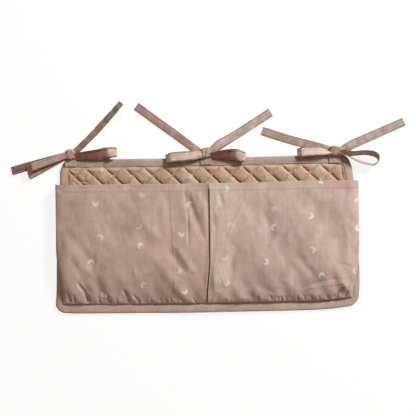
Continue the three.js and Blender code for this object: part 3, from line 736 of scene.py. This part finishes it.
# The limbs whose tape is a lit or shaded copy of the one tape's colour: painted light on the clear,
# pale and light limbs, painted shade on the darkest, deep, shaded, warm and cool ones
TIE_LIT_AND_SHADED_COPIES = {
    (bow, limb): tape_material(f"tie_tape_{tone}", main, other)
    for bow, limb, tone, main, other in (
        ("left", "tail_left", "darkest", "7a5d50", "6c5044"),
        ("left", "tail_right", "deep", "977765", "866657"),
        ("left", "loop_left", "shaded", "b19385", "a38375"),
        ("centre", "tail_left", "clear", "c5aa9c", "b69789"),
        ("right", "tail_left", "warm", "b49b8e", "a68a7d"),
        ("centre", "loop_left", "pale", "c6b2a6", "b8a295"),
        ("right", "loop_left", "light", "c8b4a8", "bba59a"),
        ("right", "tail_right", "cool", "a8988c", "9b877b"),
    )
}
THREAD = thread_material()


def across_panel(levels, shares, inset=EDGE_CLEARANCE):
    """A grid of places: rows at the levels, each spread over the panel's width."""
    y = rows_of(levels, len(shares))
    return shares * half_width(y, inset), y


def inside_bindings(x, y):
    """How far inside the bindings a place lies."""
    low = BOTTOM_BINDING_WIDTH - HALF_HEIGHT
    from_ends = np.minimum(HALF_HEIGHT - BINDING_WIDTH - y, y - low)
    return np.minimum(from_ends, half_width(y) - BINDING_WIDTH - np.abs(x))


def from_stitch_lines(x, y):
    """How far from each set of quilting lines, from 0 on a line to 1 midway."""
    right = (x - CROSSING[0]) / (DIAMOND_WIDTH / 2)
    up = (y - CROSSING[1]) / (DIAMOND_HEIGHT / 2)
    return 1 - np.abs(np.mod(right + up, 2) - 1), 1 - np.abs(np.mod(right - up, 2) - 1)


def quilt_height(x, y):
    """Height of the quilted puffs: zero on the crossing stitch lines, full between them."""
    falling, rising = from_stitch_lines(x, y)
    puff = (1 - (1 - falling) ** PUFF_CROWN) * (1 - (1 - rising) ** PUFF_CROWN)
    nearest = np.minimum(falling, rising)
    puckers = noise(x + y, x - y, 4.6, 4.6, 11) * 0.75
    puckers = puckers * np.exp(-(nearest / 0.4) ** 2) * smooth(nearest / 0.12)
    wrinkles = noise(x, y, 11, 11, 12) * 0.7
    for height, width, *places in QUILT_CREASES:
        wrinkles = wrinkles + crease(x, y, height, width, places)
    sunk = STITCH_SINK * (1 - puff) ** 3
    height = PUFF_HEIGHT * 0.9 * puff ** 0.7 + puckers + wrinkles * puff - sunk
    return np.maximum(smooth(inside_bindings(x, y) / PUFF_FADE) * height, QUILT_LOWEST)


def face_z(x, y):
    return FACE_TOP_Z + quilt_height(x, y)


def quilt():
    """The quilted face and its wadding as one padded piece."""
    end = HALF_HEIGHT - EDGE_CLEARANCE
    change = MOUTH_Y - QUILT_FINE_FROM
    levels = np.concatenate([np.arange(-end, change, 2.0), np.arange(change, end, 1.0), [end]])
    shares = np.linspace(-1, 1, 481)
    x, y = across_panel(levels, shares)
    moved = settled(across_panel, face_z, quilt_held, levels, shares, *QUILT_SIM)
    shape = Shape()
    shape.sheet(layer(x, y, face_z(x, y)) + moved, layer(x, y, WADDING_Z))
    quilting_stitches(shape)
    made = shape.build("quilt", [QUILT, THREAD], sewn=True)
    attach(made, "panel")
    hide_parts("quilt_face", "quilt_wadding")


def quilt_held(x, y):
    """Where the quilted face is held down: on its stitch lines and under the bindings."""
    return (np.minimum(*from_stitch_lines(x, y)) < 0.09) | (inside_bindings(x, y) < 1)


def quilting_stitches(shape):
    """Quilting thread along both sets of lines, where the quilt shows above the pockets."""
    y = np.arange(MOUTH_Y - 22, HALF_HEIGHT - BINDING_WIDTH - 1, 0.5)
    first = math.floor((-PANEL_WIDTH / 2 - CROSSING[0]) / DIAMOND_WIDTH) - 4
    for slope in (-1, 1):
        for k in range(first, -first + 4):
            run = CROSSING[0] + k * DIAMOND_WIDTH
            x = run + slope * (y - CROSSING[1]) * DIAMOND_WIDTH / DIAMOND_HEIGHT
            kept = np.abs(x) < half_width(y) - BINDING_WIDTH - 1
            if kept.sum() >= 10:
                path = layer(x, y, face_z(x, y) + THREAD_STAND)[kept]
                shape.seam(path, UPWARDS, length=2.2, width=FINE_THREAD_WIDTH)


def lining():
    """The plain back, sunk a little inside the bindings, with the quilting showing through."""
    inset = BOTTOM_BINDING_WIDTH + 2 * LAYER_GAP
    levels = np.linspace(inset - HALF_HEIGHT, HALF_HEIGHT - inset, 121)
    x, y = across_panel(levels, np.linspace(-1, 1, 221), inset)
    edge = np.minimum(half_width(y, inset) - np.abs(x), HALF_HEIGHT - inset - np.abs(y))
    relief = np.clip(quilt_height(x, y) / PUFF_HEIGHT, 0, 1)
    back = mix(0.75, 0.05, relief) * smooth(edge / 3 + 0.2) + 0.05 * (noise(x, y, 9, 9, 21) + 1)
    shape = Shape()
    shape.sheet(layer(x, y, LINING_TOP_Z), layer(x, y, np.clip(back, 0, 0.95)))
    made = shape.build("back_cloth", [LINING], sewn=True)
    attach(made, "panel")
    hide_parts("back_lining")


def binding_section(width):
    """The folded tape's section, all the way round: how far in from the edge, and the height.

    Also which points are on the tape's outside.
    """
    top = PANEL_THICKNESS
    cloth = BINDING_CLOTH
    stitch = width - STITCH_INSET
    front = [
        (width, top - 0.62), (width - 0.25, top - 0.3), (width - 0.9, top - 0.12),
        (stitch + 0.5, top - 0.1), (stitch, top - 0.32), (stitch - 0.5, top - 0.08),
        (stitch - 2, top + 0.05), (width * 0.55, top + 0.1), (width * 0.34, top + 0.02),
        (3.4, top - 0.25), (2.0, top - 0.7), (0.9, top - 1.4), (0.25, top - 2.3),
    ]
    back = [(inset, top - z) for inset, z in reversed(front)]
    inside = [
        (width, cloth), (stitch, cloth), (width * 0.5, cloth), (3, cloth + 0.1),
        (1.4, cloth + 0.8), (0.9, top / 2), (1.4, top - cloth - 0.8), (3, top - cloth - 0.1),
        (width * 0.5, top - cloth), (stitch, top - cloth), (width, top - cloth),
    ]
    points = np.array(front + [(0, top / 2)] + back + inside)
    return points[:, 0], points[:, 1], np.arange(len(points)) < len(points) - len(inside)


def binding_height(section, along, width, seed, waves, proud):
    """The section's heights, puckered along its stitches and softly waved."""
    inset, height, outside = section
    pucker, soft, spacing = waves
    pull = np.exp(-((inset - (width - STITCH_INSET)) / STITCH_PULL_REACH) ** 2)
    wave = noise(along, inset * 0.6, 5.5, 5, seed) * pucker * pull
    wave = wave + noise(along, inset, spacing, 12, seed + 1) * soft
    outwards = np.where(height > PANEL_THICKNESS / 2, 1, -1)
    return height + np.where(outside, outwards * np.minimum(wave, proud), 0)


def folded_tape(name, node, rings, seam):
    """Tape through the rings, with the stitches that hold it on both of its faces."""
    shape = Shape()
    shape.loft(np.array(rings))
    for side in (1, -1):
        height = PANEL_THICKNESS - THREAD_SUNK if side > 0 else THREAD_SUNK
        shape.seam(layer(*seam, height), (0, 0, side))
    made = shape.build(name, [BINDINGS_LIT_AND_SHADED[name], THREAD], sewn=True)
    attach(made, "panel")
    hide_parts(node)


def edge_binding(name, node, edge, inward, widths, seed, proud):
    """Folded tape along the panel's edge: edge points, directions into the panel and widths."""
    reach = reach_of(edge)
    rings = []
    for point, direction, width, along in zip(edge, inward, widths, reach):
        section = binding_section(width)
        height = binding_height(section, along, width, seed, EDGE_WAVES, proud)
        inset = section[0]
        shift = noise(along, 0, 48, 1, seed + 2) * 0.5 * (inset > width * 0.8)
        place = point + direction * (inset + shift)[:, None]
        rings.append(np.column_stack([place, np.clip(height, 0, None)]))
    seam = (edge + inward * (widths - STITCH_INSET)[:, None]).T
    folded_tape(name, node, rings, seam)


def top_binding():
    """The top tape runs the whole width; its ends are cut along the drawn-in sides."""
    section = binding_section(BINDING_WIDTH)
    inset, flat_height, _ = section
    y = HALF_HEIGHT - inset
    rings = []
    for k in range(261):
        share = mix(-1, 1, k / 260)
        along = share * PANEL_WIDTH / 2
        height = binding_height(section, along, BINDING_WIDTH, 31, TOP_WAVES, 0.5)
        rounding = 1.2 * smooth((abs(share) - 0.985) / 0.015)
        height = height + np.where(flat_height > PANEL_THICKNESS / 2, -rounding, rounding)
        rings.append(np.column_stack([share * half_width(y), y, np.clip(height, 0, None)]))
    stitch_y = HALF_HEIGHT - (BINDING_WIDTH - STITCH_INSET)
    reach = half_width(stitch_y) - 3
    seam = np.array([[-reach, reach], [stitch_y, stitch_y]])
    folded_tape("binding_top", "top_binding", rings, seam)


def corner(side, start, end):
    """Edge points, inward directions and widths round a lower corner; turns in radians."""
    centre = np.array([side * (PANEL_WIDTH / 2 - CORNER_RADIUS), CORNER_RADIUS - HALF_HEIGHT])
    turns = np.linspace(start, end, 12)
    out = np.stack([side * np.cos(turns), -np.sin(turns)], -1)
    widths = mix(BINDING_WIDTH, BOTTOM_BINDING_WIDTH, turns / (math.pi / 2))
    return centre + CORNER_RADIUS * out, -out, widths


def straight_edge(x, y, inward, width):
    """Edge points, inward directions and widths along a straight part of the edge."""
    return np.stack([x, y], -1), np.tile(inward, (len(x), 1)), np.full(len(x), width)


def side_binding(side, word):
    high = HALF_HEIGHT - BINDING_WIDTH - LAYER_GAP
    levels = np.linspace(high, CORNER_RADIUS - HALF_HEIGHT, 110)
    straight = straight_edge(side * half_width(levels), levels, (-side, 0), BINDING_WIDTH)
    turned = corner(side, 0, math.pi / 4 - CORNER_GAP)
    parts = [np.concatenate([a, b[1:]]) for a, b in zip(straight, turned)]
    edge_binding(f"binding_{word}", f"{word}_binding", *parts, 40 + 7 * side, 0.1)


def bottom_binding():
    left, right = (corner(side, math.pi / 4 + CORNER_GAP, math.pi / 2) for side in SIDES)
    span = PANEL_WIDTH / 2 - CORNER_RADIUS
    across = np.linspace(-span, span, 230)[1:-1]
    middle = straight_edge(across, np.full_like(across, -HALF_HEIGHT), (0, 1), BOTTOM_BINDING_WIDTH)
    parts = [np.concatenate([a, b, c[::-1]]) for a, b, c in zip(left, middle, right)]
    edge_binding("binding_bottom", "bottom_binding", *parts, 60, 0.45)


def centre_line(y):
    length = -CENTRE_SWERVE_FROM - POCKET_BOTTOM_Y
    return CENTRE_X - CENTRE_SWERVE * smooth((-CENTRE_SWERVE_FROM - y) / length)


def pocket_sides(y, side):
    """Where a pocket's inner and outer edges are."""
    taper = smooth((POCKET_BOTTOM_Y + POCKET_TAPER_HEIGHT - y) / POCKET_TAPER_HEIGHT)
    outer = PANEL_WIDTH / 2 - POCKET_SIDE_INSET - POCKET_TAPER * taper
    return centre_line(y) + side * CENTRE_GAP, side * outer


def across_pocket(levels, shares, side):
    """A grid of places on a pocket front: rows at the levels, from its left edge to its right."""
    y = rows_of(levels, len(shares))
    left, right = pocket_sides(y, side)[::side]
    return mix(left, right, shares), y


def pocket_heights(y, side):
    """Heights of a pocket front at its outer edge, in its middle and at its inner edge."""
    up = np.clip((y - POCKET_BOTTOM_Y) / POCKET_LIFT_OFF, 0, 1)
    to_mouth = smooth((y - POCKET_BOTTOM_Y) / (MOUTH_Y - POCKET_BOTTOM_Y))
    swell = mix(1 - (1 - up) ** 2, np.sqrt(1 - (1 - up) ** 2), SWELL_ROUND[side])
    middle = POCKET_SEAM_Z + POCKET_MID_RISE * swell - POCKET_MOUTH_DROP * to_mouth
    outer = POCKET_SEAM_Z + POCKET_EDGE_RISE * smooth((y - POCKET_BOTTOM_Y) / POCKET_LIFT_OFF)
    lifted = CENTRE_RIDGE[side] * smooth((y - POCKET_BOTTOM_Y) / (2 * POCKET_LIFT_OFF))
    return outer, middle, mix(outer, middle, 0.8) + lifted


def crease(x, y, height, width, places):
    """A valley or ridge along a line of points, fading towards the line's ends."""
    points = np.array(places, float).reshape(-1, 2)
    lengths = np.linalg.norm(np.diff(points, axis=0), axis=1)
    whole = lengths.sum()
    nearest = np.full(x.shape, 1e9)
    place = np.zeros(x.shape)
    start = 0.0
    for (x0, y0), run, length in zip(points, np.diff(points, axis=0) / lengths[:, None], lengths):
        along = np.clip((x - x0) * run[0] + (y - y0) * run[1], 0, length)
        away = np.hypot(x - x0 - along * run[0], y - y0 - along * run[1])
        place = np.where(away < nearest, start + along, place)
        nearest = np.minimum(away, nearest)
        start += length
    fade = smooth(place / (0.3 * whole)) * smooth((whole - place) / (0.12 * whole))
    return height * np.exp(-(nearest / width) ** 2) * mix(0.15, 1, fade)


def pocket_folds(x, y, side):
    """Gathers above the bottom seam, slanting folds, creases and small wrinkles."""
    from_seam = y - POCKET_BOTTOM_Y
    from_mouth = MOUTH_Y - y
    gather = np.cos(2 * math.pi * (x + FOLD_SLOPE * from_seam) / GATHER_SPACING)
    gather_share = smooth(from_seam / GATHER_RISE) * np.exp(-from_seam / GATHER_REACH)
    fold = np.sin(2 * math.pi * (x + side * FOLD_SLOPE * from_seam) / FOLD_SPACING)
    fold_share = smooth(from_seam / POCKET_LIFT_OFF) * smooth(from_mouth / POCKET_LIFT_OFF)
    total = GATHER_HEIGHT * gather * gather_share + FOLD_HEIGHT * fold * fold_share
    for height, width, *places in CREASES[side]:
        total = total + 1.15 * crease(x, y, height, width * (1.3 if width > 3.5 else 1), places)
    calm = mix(0.45, 1, smooth(from_mouth / 30))
    total = total + noise(x + 0.6 * y, y, 30, 62, 70 + side) * UNEVENNESS[side] * calm
    total = total + noise(x + 0.4 * y, y - 0.3 * x, 13, 30, 72 + side) * 0.42
    total = total + noise(x, y, 7, 18, 74 + side) * 0.16
    low = np.exp(-from_seam / 8)
    return total + noise(x, y, 5.5, 18, 78 + side) * 1.5 * low * smooth(from_seam / 3)


def pocket_under(x, y, side):
    """Height of the pocket front's underside."""
    inner, outer = pocket_sides(y, side)
    from_inner, from_outer = side * (x - inner), side * (outer - x)
    outer_z, middle_z, inner_z = pocket_heights(y, side)
    inside = np.sqrt(1 - (1 - np.clip(from_outer / POCKET_EDGE_ROUND, 0, 1)) ** 2)
    near_inner = np.exp(-from_inner / RIDGE_REACH[side])
    height = mix(outer_z, middle_z, inside) + (inner_z - middle_z) * near_inner
    return height + pocket_folds(x, y, side) * np.minimum(inside, smooth(from_inner / 12))


def pocket_held(x, y):
    """Where a pocket front is held: all round its rim."""
    held = np.ones(x.shape)
    held[1:-1, 1:-1] = 0
    return held


def pocket_front(side, word):
    """One gathered pocket front: a single sheet of cloth with a turned hem at its mouth."""
    gathered = POCKET_BOTTOM_Y + np.arange(0, 34, 1.1)
    plain = np.arange(gathered[-1] + 1.9, HEM_SEAM_Y - 4, 1.9)
    levels = np.concatenate([gathered, plain, np.linspace(HEM_SEAM_Y - 4, MOUTH_Y, 30)])
    shares = np.linspace(0, 1, 171)
    # Closer columns near the pocket's sides
    shares = shares - 0.18 * np.sin(2 * math.pi * shares) / (2 * math.pi)
    place = partial(across_pocket, side=side)
    height = partial(pocket_under, side=side)
    x, y = place(levels, shares)
    under = height(x, y)
    moved = settled(place, height, pocket_held, levels, shares, *POCKET_SIM)
    hem = HEM_EXTRA * smooth(y - HEM_SEAM_Y)
    stitch_y = HEM_SEAM_Y + 1.6
    groove = 0.45 * np.exp(-((y - stitch_y) / 0.8) ** 2)
    wavy_y = y + noise(x, 0, 60, 1, 90 + side) * 0.9 * smooth((y - MOUTH_Y + 30) / 30)
    rounding = 0.6 * np.clip(1 - (MOUTH_Y - y) / 1.2, 0, 1) ** 2
    upper = layer(x, wavy_y, under + (POCKET_CLOTH + hem - groove) - rounding) + moved
    lower = layer(x, wavy_y, under - hem + rounding) + moved
    shape = Shape()
    shape.sheet(upper, lower)
    row = np.argmin(np.abs(levels - stitch_y))
    shape.seam(upper[row] + [0, 0, 0.18], UPWARDS)
    made = shape.build(f"pocket_{word}", [POCKETS[side], THREAD], sewn=True)
    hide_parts(f"pocket_front_{word}")
    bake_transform(made)


def gusset(side, place):
    """A side fold between the panel and a pocket front's edge, its crease pointing inwards."""
    at_centre = place == "inner"
    inwards = side if at_centre else -side
    back_z = FACE_TOP_Z + PUFF_HEIGHT if at_centre else PANEL_THICKNESS
    half = GUSSET_CLOTH / 2
    levels = np.linspace(POCKET_BOTTOM_Y + GUSSET_START, MOUTH_Y - HEM_EXTRA, 90)
    sweep = np.linspace(0, 1, 23)
    y = rows_of(levels, len(sweep))
    edge = pocket_sides(y, side)[0 if at_centre else 1]
    edge_z = pocket_heights(y, side)[2 if at_centre else 0]
    top_z = edge_z - HEM_EXTRA * smooth(y - HEM_SEAM_Y) - LAYER_GAP - half
    low_z = back_z + LAYER_GAP + half
    depth = 1 - np.abs(2 * sweep - 1) ** 1.15
    x = edge + inwards * mix(GUSSET_SEAM_INSET, GUSSET_DEPTH - GUSSET_CLOTH, depth)
    wave = noise(y, x, 26, 11, 101 + side) * 0.7 * np.sin(math.pi * sweep)
    z = mix(low_z, top_z, sweep) + wave * np.minimum(1, (top_z - low_z) / 8)
    middle = layer(x + wave, y, z)
    tangent = np.gradient(middle, axis=1)
    normal = unit(layer(tangent[..., 2], np.zeros_like(z), -tangent[..., 0]))
    shape = Shape()
    shape.sheet(middle + normal * half, middle - normal * half)
    word = SIDES[side]
    made = shape.build(f"side_fold_{word}_{place}", [FOLDS_PAINTED_SHADE], sewn=True)
    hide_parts(f"gusset_{word}_{place}")
    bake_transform(made)


def catmull(points, steps):
    """Centripetal Catmull-Rom curve: points, and each point's place among the stations."""
    points = np.array(points, float)
    padded = np.concatenate([[2 * points[0] - points[1]], points, [2 * points[-1] - points[-2]]])
    made = []
    for p0, p1, p2, p3 in zip(padded, padded[1:], padded[2:], padded[3:]):
        d0, d1, d2 = (
            max(np.linalg.norm(b - a), 1e-6) ** 0.5 for a, b in ((p0, p1), (p1, p2), (p2, p3))
        )
        t1 = ((p1 - p0) / d0 - (p2 - p0) / (d0 + d1) + (p2 - p1) / d1) * d1
        t2 = ((p2 - p1) / d1 - (p3 - p1) / (d1 + d2) + (p3 - p2) / d2) * d1
        cubic = 2 * p1 - 2 * p2 + t1 + t2
        square = -3 * p1 + 3 * p2 - 2 * t1 - t2
        for share in np.arange(steps) / steps:
            made.append(p1 + t1 * share + square * share ** 2 + cubic * share ** 3)
    made.append(points[-1])
    return np.array(made), np.arange(len(made)) / steps


def limb_frames(bow, limb):
    """Points along one limb of a bow, with their tangents, width directions and widths.

    Also how far each is from the knot along the tape, by the nearest end and by its start.
    """
    angle, stations = BOWS[bow, limb]
    along = np.array([*heading(angle), 0])
    across = np.array([-along[1], along[0], 0])
    centre = np.array([BOW_X[bow], KNOT_Y, 0])
    route = [
        centre + (LIMB_START + s) * along + n * across + np.array([0, 0, z])
        for s, n, z, _, _ in stations
    ]
    dense, places = catmull(route, 40)
    reach = reach_of(dense)
    length = reach[-1]
    even = np.linspace(0, length, int(length / TAPE_STEP) + 1)
    points = between(even, reach, dense)
    place = np.interp(even, reach, places)
    lean, size = (
        np.interp(place, np.arange(len(stations)), values) for values in list(zip(*stations))[3:]
    )
    lean = np.radians(lean)
    tangent = unit(np.gradient(points, axis=0))
    width = across * np.cos(lean)[:, None] + np.array(UPWARDS) * np.sin(lean)[:, None]
    from_root = np.minimum(even, length - even) if limb.startswith("loop") else even
    return points, tangent, width, size, from_root, even


def tape_mesh(shape, frames, seed, cup):
    """Folded tape swept along its frames, with stitched edges, cupped and pinched at the knot.

    Returns its points' places on the flat tape, in millimetres across and along it.
    """
    points, tangent, width, size, from_root, even = frames
    normal = unit(np.cross(tangent, width))
    shares = np.linspace(-0.5, 0.5, TAPE_COLUMNS)
    edge = np.sqrt(np.clip(1 - (np.abs(shares) * 2) ** 10, 0, 1))
    groove = 0.22 * np.exp(-((np.abs(shares) - 0.36) / 0.045) ** 2)
    half = TAPE_THICKNESS / 2 * mix(0.35, 1, edge) - groove
    pinch = np.exp(-from_root / 9)[:, None]
    curve = cup * (1 - (2 * shares) ** 2) * mix(0.18, 1.0, np.exp(-from_root / 14))[:, None]
    pleats = np.cos(2 * math.pi * shares * 2.5 + seed) * 0.7 * pinch
    run = even[:, None]
    ripples = noise(run + 40 * seed, shares[None] * 10, 9, 14, seed + 200) * 0.6
    sway = noise(run + 17 * seed, 0 * shares[None], 26, 1, seed + 230) * 0.7
    lift = curve + pleats + (ripples + sway) * smooth(from_root / 12)[:, None]
    place = points[:, None] + width[:, None] * (shares * size[:, None])[..., None]
    place = place + normal[:, None] * lift[..., None]
    top = place + normal[:, None] * half[None, :, None]
    low = place - normal[:, None] * half[None, :, None]
    sunk = np.maximum(0, LAYER_GAP - np.minimum(top[..., 2], low[..., 2]))
    top[..., 2] += sunk
    low[..., 2] += sunk
    shape.loft(np.concatenate([top, low[:, ::-1]], axis=1))
    for face, sign in ((top, 1), (low, -1)):
        for column in TAPE_STITCH_COLUMNS:
            path = face[:, column] + normal * sign * THREAD_STAND
            shape.seam(path, normal * sign, width=FINE_THREAD_WIDTH)
    across = np.concatenate([shares, shares[::-1]]) * size[:, None]
    return np.stack([across, np.broadcast_to(run, across.shape)], -1).reshape(-1, 2)


def add_tape_uv(made, uv):
    """A UV map of places on the flat tape, for its ribs and streaks."""
    mesh = made.data
    corners = np.empty(len(mesh.loops), int)
    mesh.loops.foreach_get("vertex_index", corners)
    full = np.zeros((len(mesh.vertices), 2))
    full[:len(uv)] = uv
    mesh.uv_layers.new(name="tape").data.foreach_set("uv", full[corners].ravel())


def bow_limb(bow, limb, seed):
    frames = limb_frames(bow, limb)
    shape = Shape()
    uv = tape_mesh(shape, frames, seed, LIMB_CUP[limb])
    materials = [TIE_LIT_AND_SHADED_COPIES.get((bow, limb), TIE), THREAD, TIE_PAINTED_SHADE]
    made = shape.build(f"{bow}_{limb}_tape", materials)
    add_tape_uv(made, uv)
    # Faces within that reach of the knot take the third slot, the darker tape: painted shade on the
    # loop's inner face
    shown = PAINTED_SHADE_REACH.get((bow, limb), 0)
    for face in made.data.polygons:
        if face.vertices[0] < len(uv) and uv[face.vertices[0], 1] < shown:
            face.material_index = 2
    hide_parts(f"bow_{bow}_{limb}")
    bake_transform(made)


def rounded(value, power):
    return math.copysign(abs(value) ** power, value)


def knot_middle(seed):
    """Rings of a pleated pillow."""
    turns = np.linspace(0, 2 * math.pi, 72, endpoint=False)
    cosine, sine = np.cos(turns), np.sin(turns)
    square = (np.abs(cosine) ** 8 + np.abs(sine) ** 8) ** -0.125
    rings = []
    for tilt in np.linspace(-math.pi / 2 * 0.985, math.pi / 2 * 0.985, 33):
        radius = KNOT_RADIUS * abs(math.cos(tilt)) ** 0.4 * square
        height = (KNOT_HEIGHT / 2 - 0.9) * rounded(math.sin(tilt), 0.7)
        pleat = 0.45 * np.cos(9 * turns + seed) * np.abs(cosine) * math.cos(tilt)
        rings.append(layer((radius + pleat) * cosine, (radius * 0.84 + pleat) * sine, height))
    return np.array(rings)


def knot_band(width, turn, pleat_depth, seed):
    """Rings of the band of tape that is wrapped over the middle."""
    shares = np.linspace(-0.5, 0.5, 41)
    edge = np.sqrt(np.clip(1 - (np.abs(shares) * 2) ** 8, 0, 1))
    droop = -1.5 * (2 * np.abs(shares)) ** 4
    rings = []
    for angle in np.linspace(0, 2 * math.pi, 120, endpoint=False):
        cosine, sine = math.cos(angle), math.sin(angle)
        reach = (KNOT_RADIUS - 0.2) * rounded(cosine, 0.55)
        rise = (KNOT_HEIGHT / 2 + 0.1) * rounded(sine, 0.55)
        across = shares * (width * mix(0.92, 1.0, abs(sine)))
        pleat = noise(across + math.sin(2 * angle), reach * 0.35, 2.6, 3, seed)
        middle = np.array([0, reach, rise])
        outward = np.array([0, cosine, sine])
        sideways = np.outer(across, [1, 0, 0])
        outer = middle + outward * (pleat_depth * pleat + droop)[:, None] + sideways
        inner = middle + outward * (droop - 1.4 * edge - 0.2)[:, None] + sideways
        rings.append(np.concatenate([outer, inner[::-1]]))
    x, y, z = np.moveaxis(np.array(rings), -1, 0)
    cosine, sine = heading(turn)
    return layer(x * cosine - y * sine, x * sine + y * cosine, z)


def knot(bow, seed):
    """The knot: a pleated middle with the tape's band wrapped over it."""
    centre = np.array([BOW_X[bow], KNOT_Y, KNOT_Z])
    shape = Shape()
    shape.loft(knot_middle(seed) + centre)
    shape.loft(knot_band(*KNOT_BANDS[bow], seed + 400) + centre, closed=True)
    made = shape.build(f"{bow}_knot", [KNOTS[bow]])
    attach(made, "panel")
    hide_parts(f"bow_{bow}_knot")


def anchor(bow, seed):
    """The sewn middle of the tie, flat on the top binding, with a box of stitches."""
    low = HALF_HEIGHT - BINDING_WIDTH + ANCHOR_INSET
    high = KNOT_Y - KNOT_RADIUS + 2
    plate_end = low + BINDING_WIDTH - 2 * ANCHOR_INSET
    plate = np.linspace(low, plate_end, 22)
    levels = np.concatenate([plate, np.linspace(plate_end, high, 6)[1:]])
    shares = np.linspace(-0.5, 0.5, 41)
    neck = smooth((levels - plate_end) / (high - plate_end))
    widths = mix(ANCHOR_WIDTH, ANCHOR_NECK, neck)[:, None]
    y = rows_of(levels, len(shares))
    x = BOW_X[bow] + shares * widths
    to_edge = (0.5 - np.abs(shares)) * widths
    to_end = np.minimum(y - low, high - y)
    rounding = 0.7 * (1 - smooth(np.minimum(to_edge, to_end) / 1.3))
    bottom = PANEL_THICKNESS + 2 * LAYER_GAP
    top = bottom + TAPE_THICKNESS - rounding + noise(x, y, 5, 5, seed) * 0.16
    box = np.minimum(np.abs(to_edge - ANCHOR_STITCH_INSET), np.abs(y - low - 2.0))
    inside_box = (to_edge > 1.8) & (y > low + 1.5) & (y < plate_end - 0.8)
    top = top - 0.22 * np.exp(-(box / 0.5) ** 2) * inside_box
    shape = Shape()
    shape.sheet(layer(x, y, top), layer(x, y, bottom))
    across, up = ANCHOR_WIDTH / 2 - ANCHOR_STITCH_INSET, plate_end - 1.4
    left, right = BOW_X[bow] - across, BOW_X[bow] + across
    height = bottom + TAPE_THICKNESS - 0.05
    corners = [(left, up), (left, low + 2), (right, low + 2), (right, up), (left, up)]
    for ends in zip(corners, corners[1:]):
        path = layer(*np.transpose(ends), height)
        shape.seam(path, UPWARDS, pitch=2.6, length=2.0, width=FINE_THREAD_WIDTH)
    made = shape.build(f"{bow}_anchor", [BINDINGS_LIT_AND_SHADED["binding_top"], THREAD])
    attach(made, "panel")
    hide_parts(f"bow_{bow}_anchor")


def camera():
    data = bpy.data.cameras.new("camera")
    data.sensor_width = SENSOR_WIDTH
    data.lens = SENSOR_WIDTH * (VIEW_HEIGHT - VIEW_PLANE_Z) / VIEW_WIDTH
    data.clip_end = 20
    made = new_object("camera", data)
    made.location = (VIEW_CENTRE[0] * MM, VIEW_CENTRE[1] * MM, VIEW_HEIGHT * MM)
    made.rotation_euler = (0, 0, math.radians(VIEW_TURN))
    bpy.context.scene.camera = made


def lamp(name, place, size, power, colour):
    """A round lamp that faces the middle of the panel."""
    data = bpy.data.lights.new(name, "AREA")
    data.shape = "DISK"
    data.size = size
    data.energy = power
    data.color = colour
    made = new_object(name, data)
    made.location = place
    made.rotation_mode = "QUATERNION"
    made.rotation_quaternion = (-made.location).to_track_quat("-Z", "Y")


def show_instead(tree, real, shown, other_ray, output):
    """Use one shader for light and shadow, and another for what the camera sees."""
    rays = add_node(tree, "LightPath", {})
    seen = {0: rays["Is Camera Ray"], 1: rays[other_ray]}
    share = add_node(tree, "Math", seen, operation="MAXIMUM")[0]
    both = add_node(tree, "MixShader", {0: share, 1: real, 2: shown})[0]
    tree.links.new(both, tree.nodes[output].inputs["Surface"])


def floor():
    """A white floor: the camera sees it near white, and it keeps the object's soft shadow."""
    bpy.ops.mesh.primitive_plane_add(size=12, location=(0, 0, -0.0006))
    made = bpy.context.object
    made.name = "floor"
    material = bpy.data.materials.new("floor_white")
    material.use_nodes = True
    tree = material.node_tree
    tree.nodes.remove(tree.nodes["Principled BSDF"])
    matt = add_node(tree, "BsdfDiffuse", {"Color": (0.54, 0.42, 0.35, 1)})[0]
    grey = add_node(tree, "BsdfDiffuse", {"Color": (0.13, 0.13, 0.13, 1)})[0]
    glow = add_node(tree, "Emission", {"Color": WHITE, "Strength": 0.86})[0]
    pale = add_node(tree, "AddShader", {0: grey, 1: glow})[0]
    show_instead(tree, matt, pale, "Is Glossy Ray", "Material Output")
    made.data.materials.append(material)


def world():
    """Even pale light from all round, and a white background for the camera."""
    made = bpy.data.worlds.new("world")
    bpy.context.scene.world = made
    made.use_nodes = True
    tree = made.node_tree
    soft = tree.nodes["Background"]
    soft.inputs["Color"].default_value = (1, 0.74, 0.62, 1)
    soft.inputs["Strength"].default_value = 0.32
    white = add_node(tree, "Background", {"Color": WHITE})[0]
    show_instead(tree, soft.outputs[0], white, "Is Transmission Ray", "World Output")


bpy.context.scene.view_settings.view_transform = "Standard"
camera()
world()
floor()
lamp("key", (2.02, 1.93, 1.68), 0.84, 164, (0.95, 1, 1))
lamp("fill", (-0.9, -1.1, 1.7), 1.6, 4, (1, 0.88, 0.8))

quilt()
lining()
top_binding()
for side_number, side_word in SIDES.items():
    side_binding(side_number, side_word)
bottom_binding()
for side_number, side_word in SIDES.items():
    pocket_front(side_number, side_word)
for side_number, fold_place in ((-1, "outer"), (-1, "inner"), (1, "inner"), (1, "outer")):
    gusset(side_number, fold_place)
for bow_index, bow_name in enumerate(BOW_X):
    knot(bow_name, bow_index)
    anchor(bow_name, 300 + bow_index)
    for limb_index, limb_name in enumerate(LIMB_CUP):
        bow_limb(bow_name, limb_name, 4 * bow_index + limb_index)
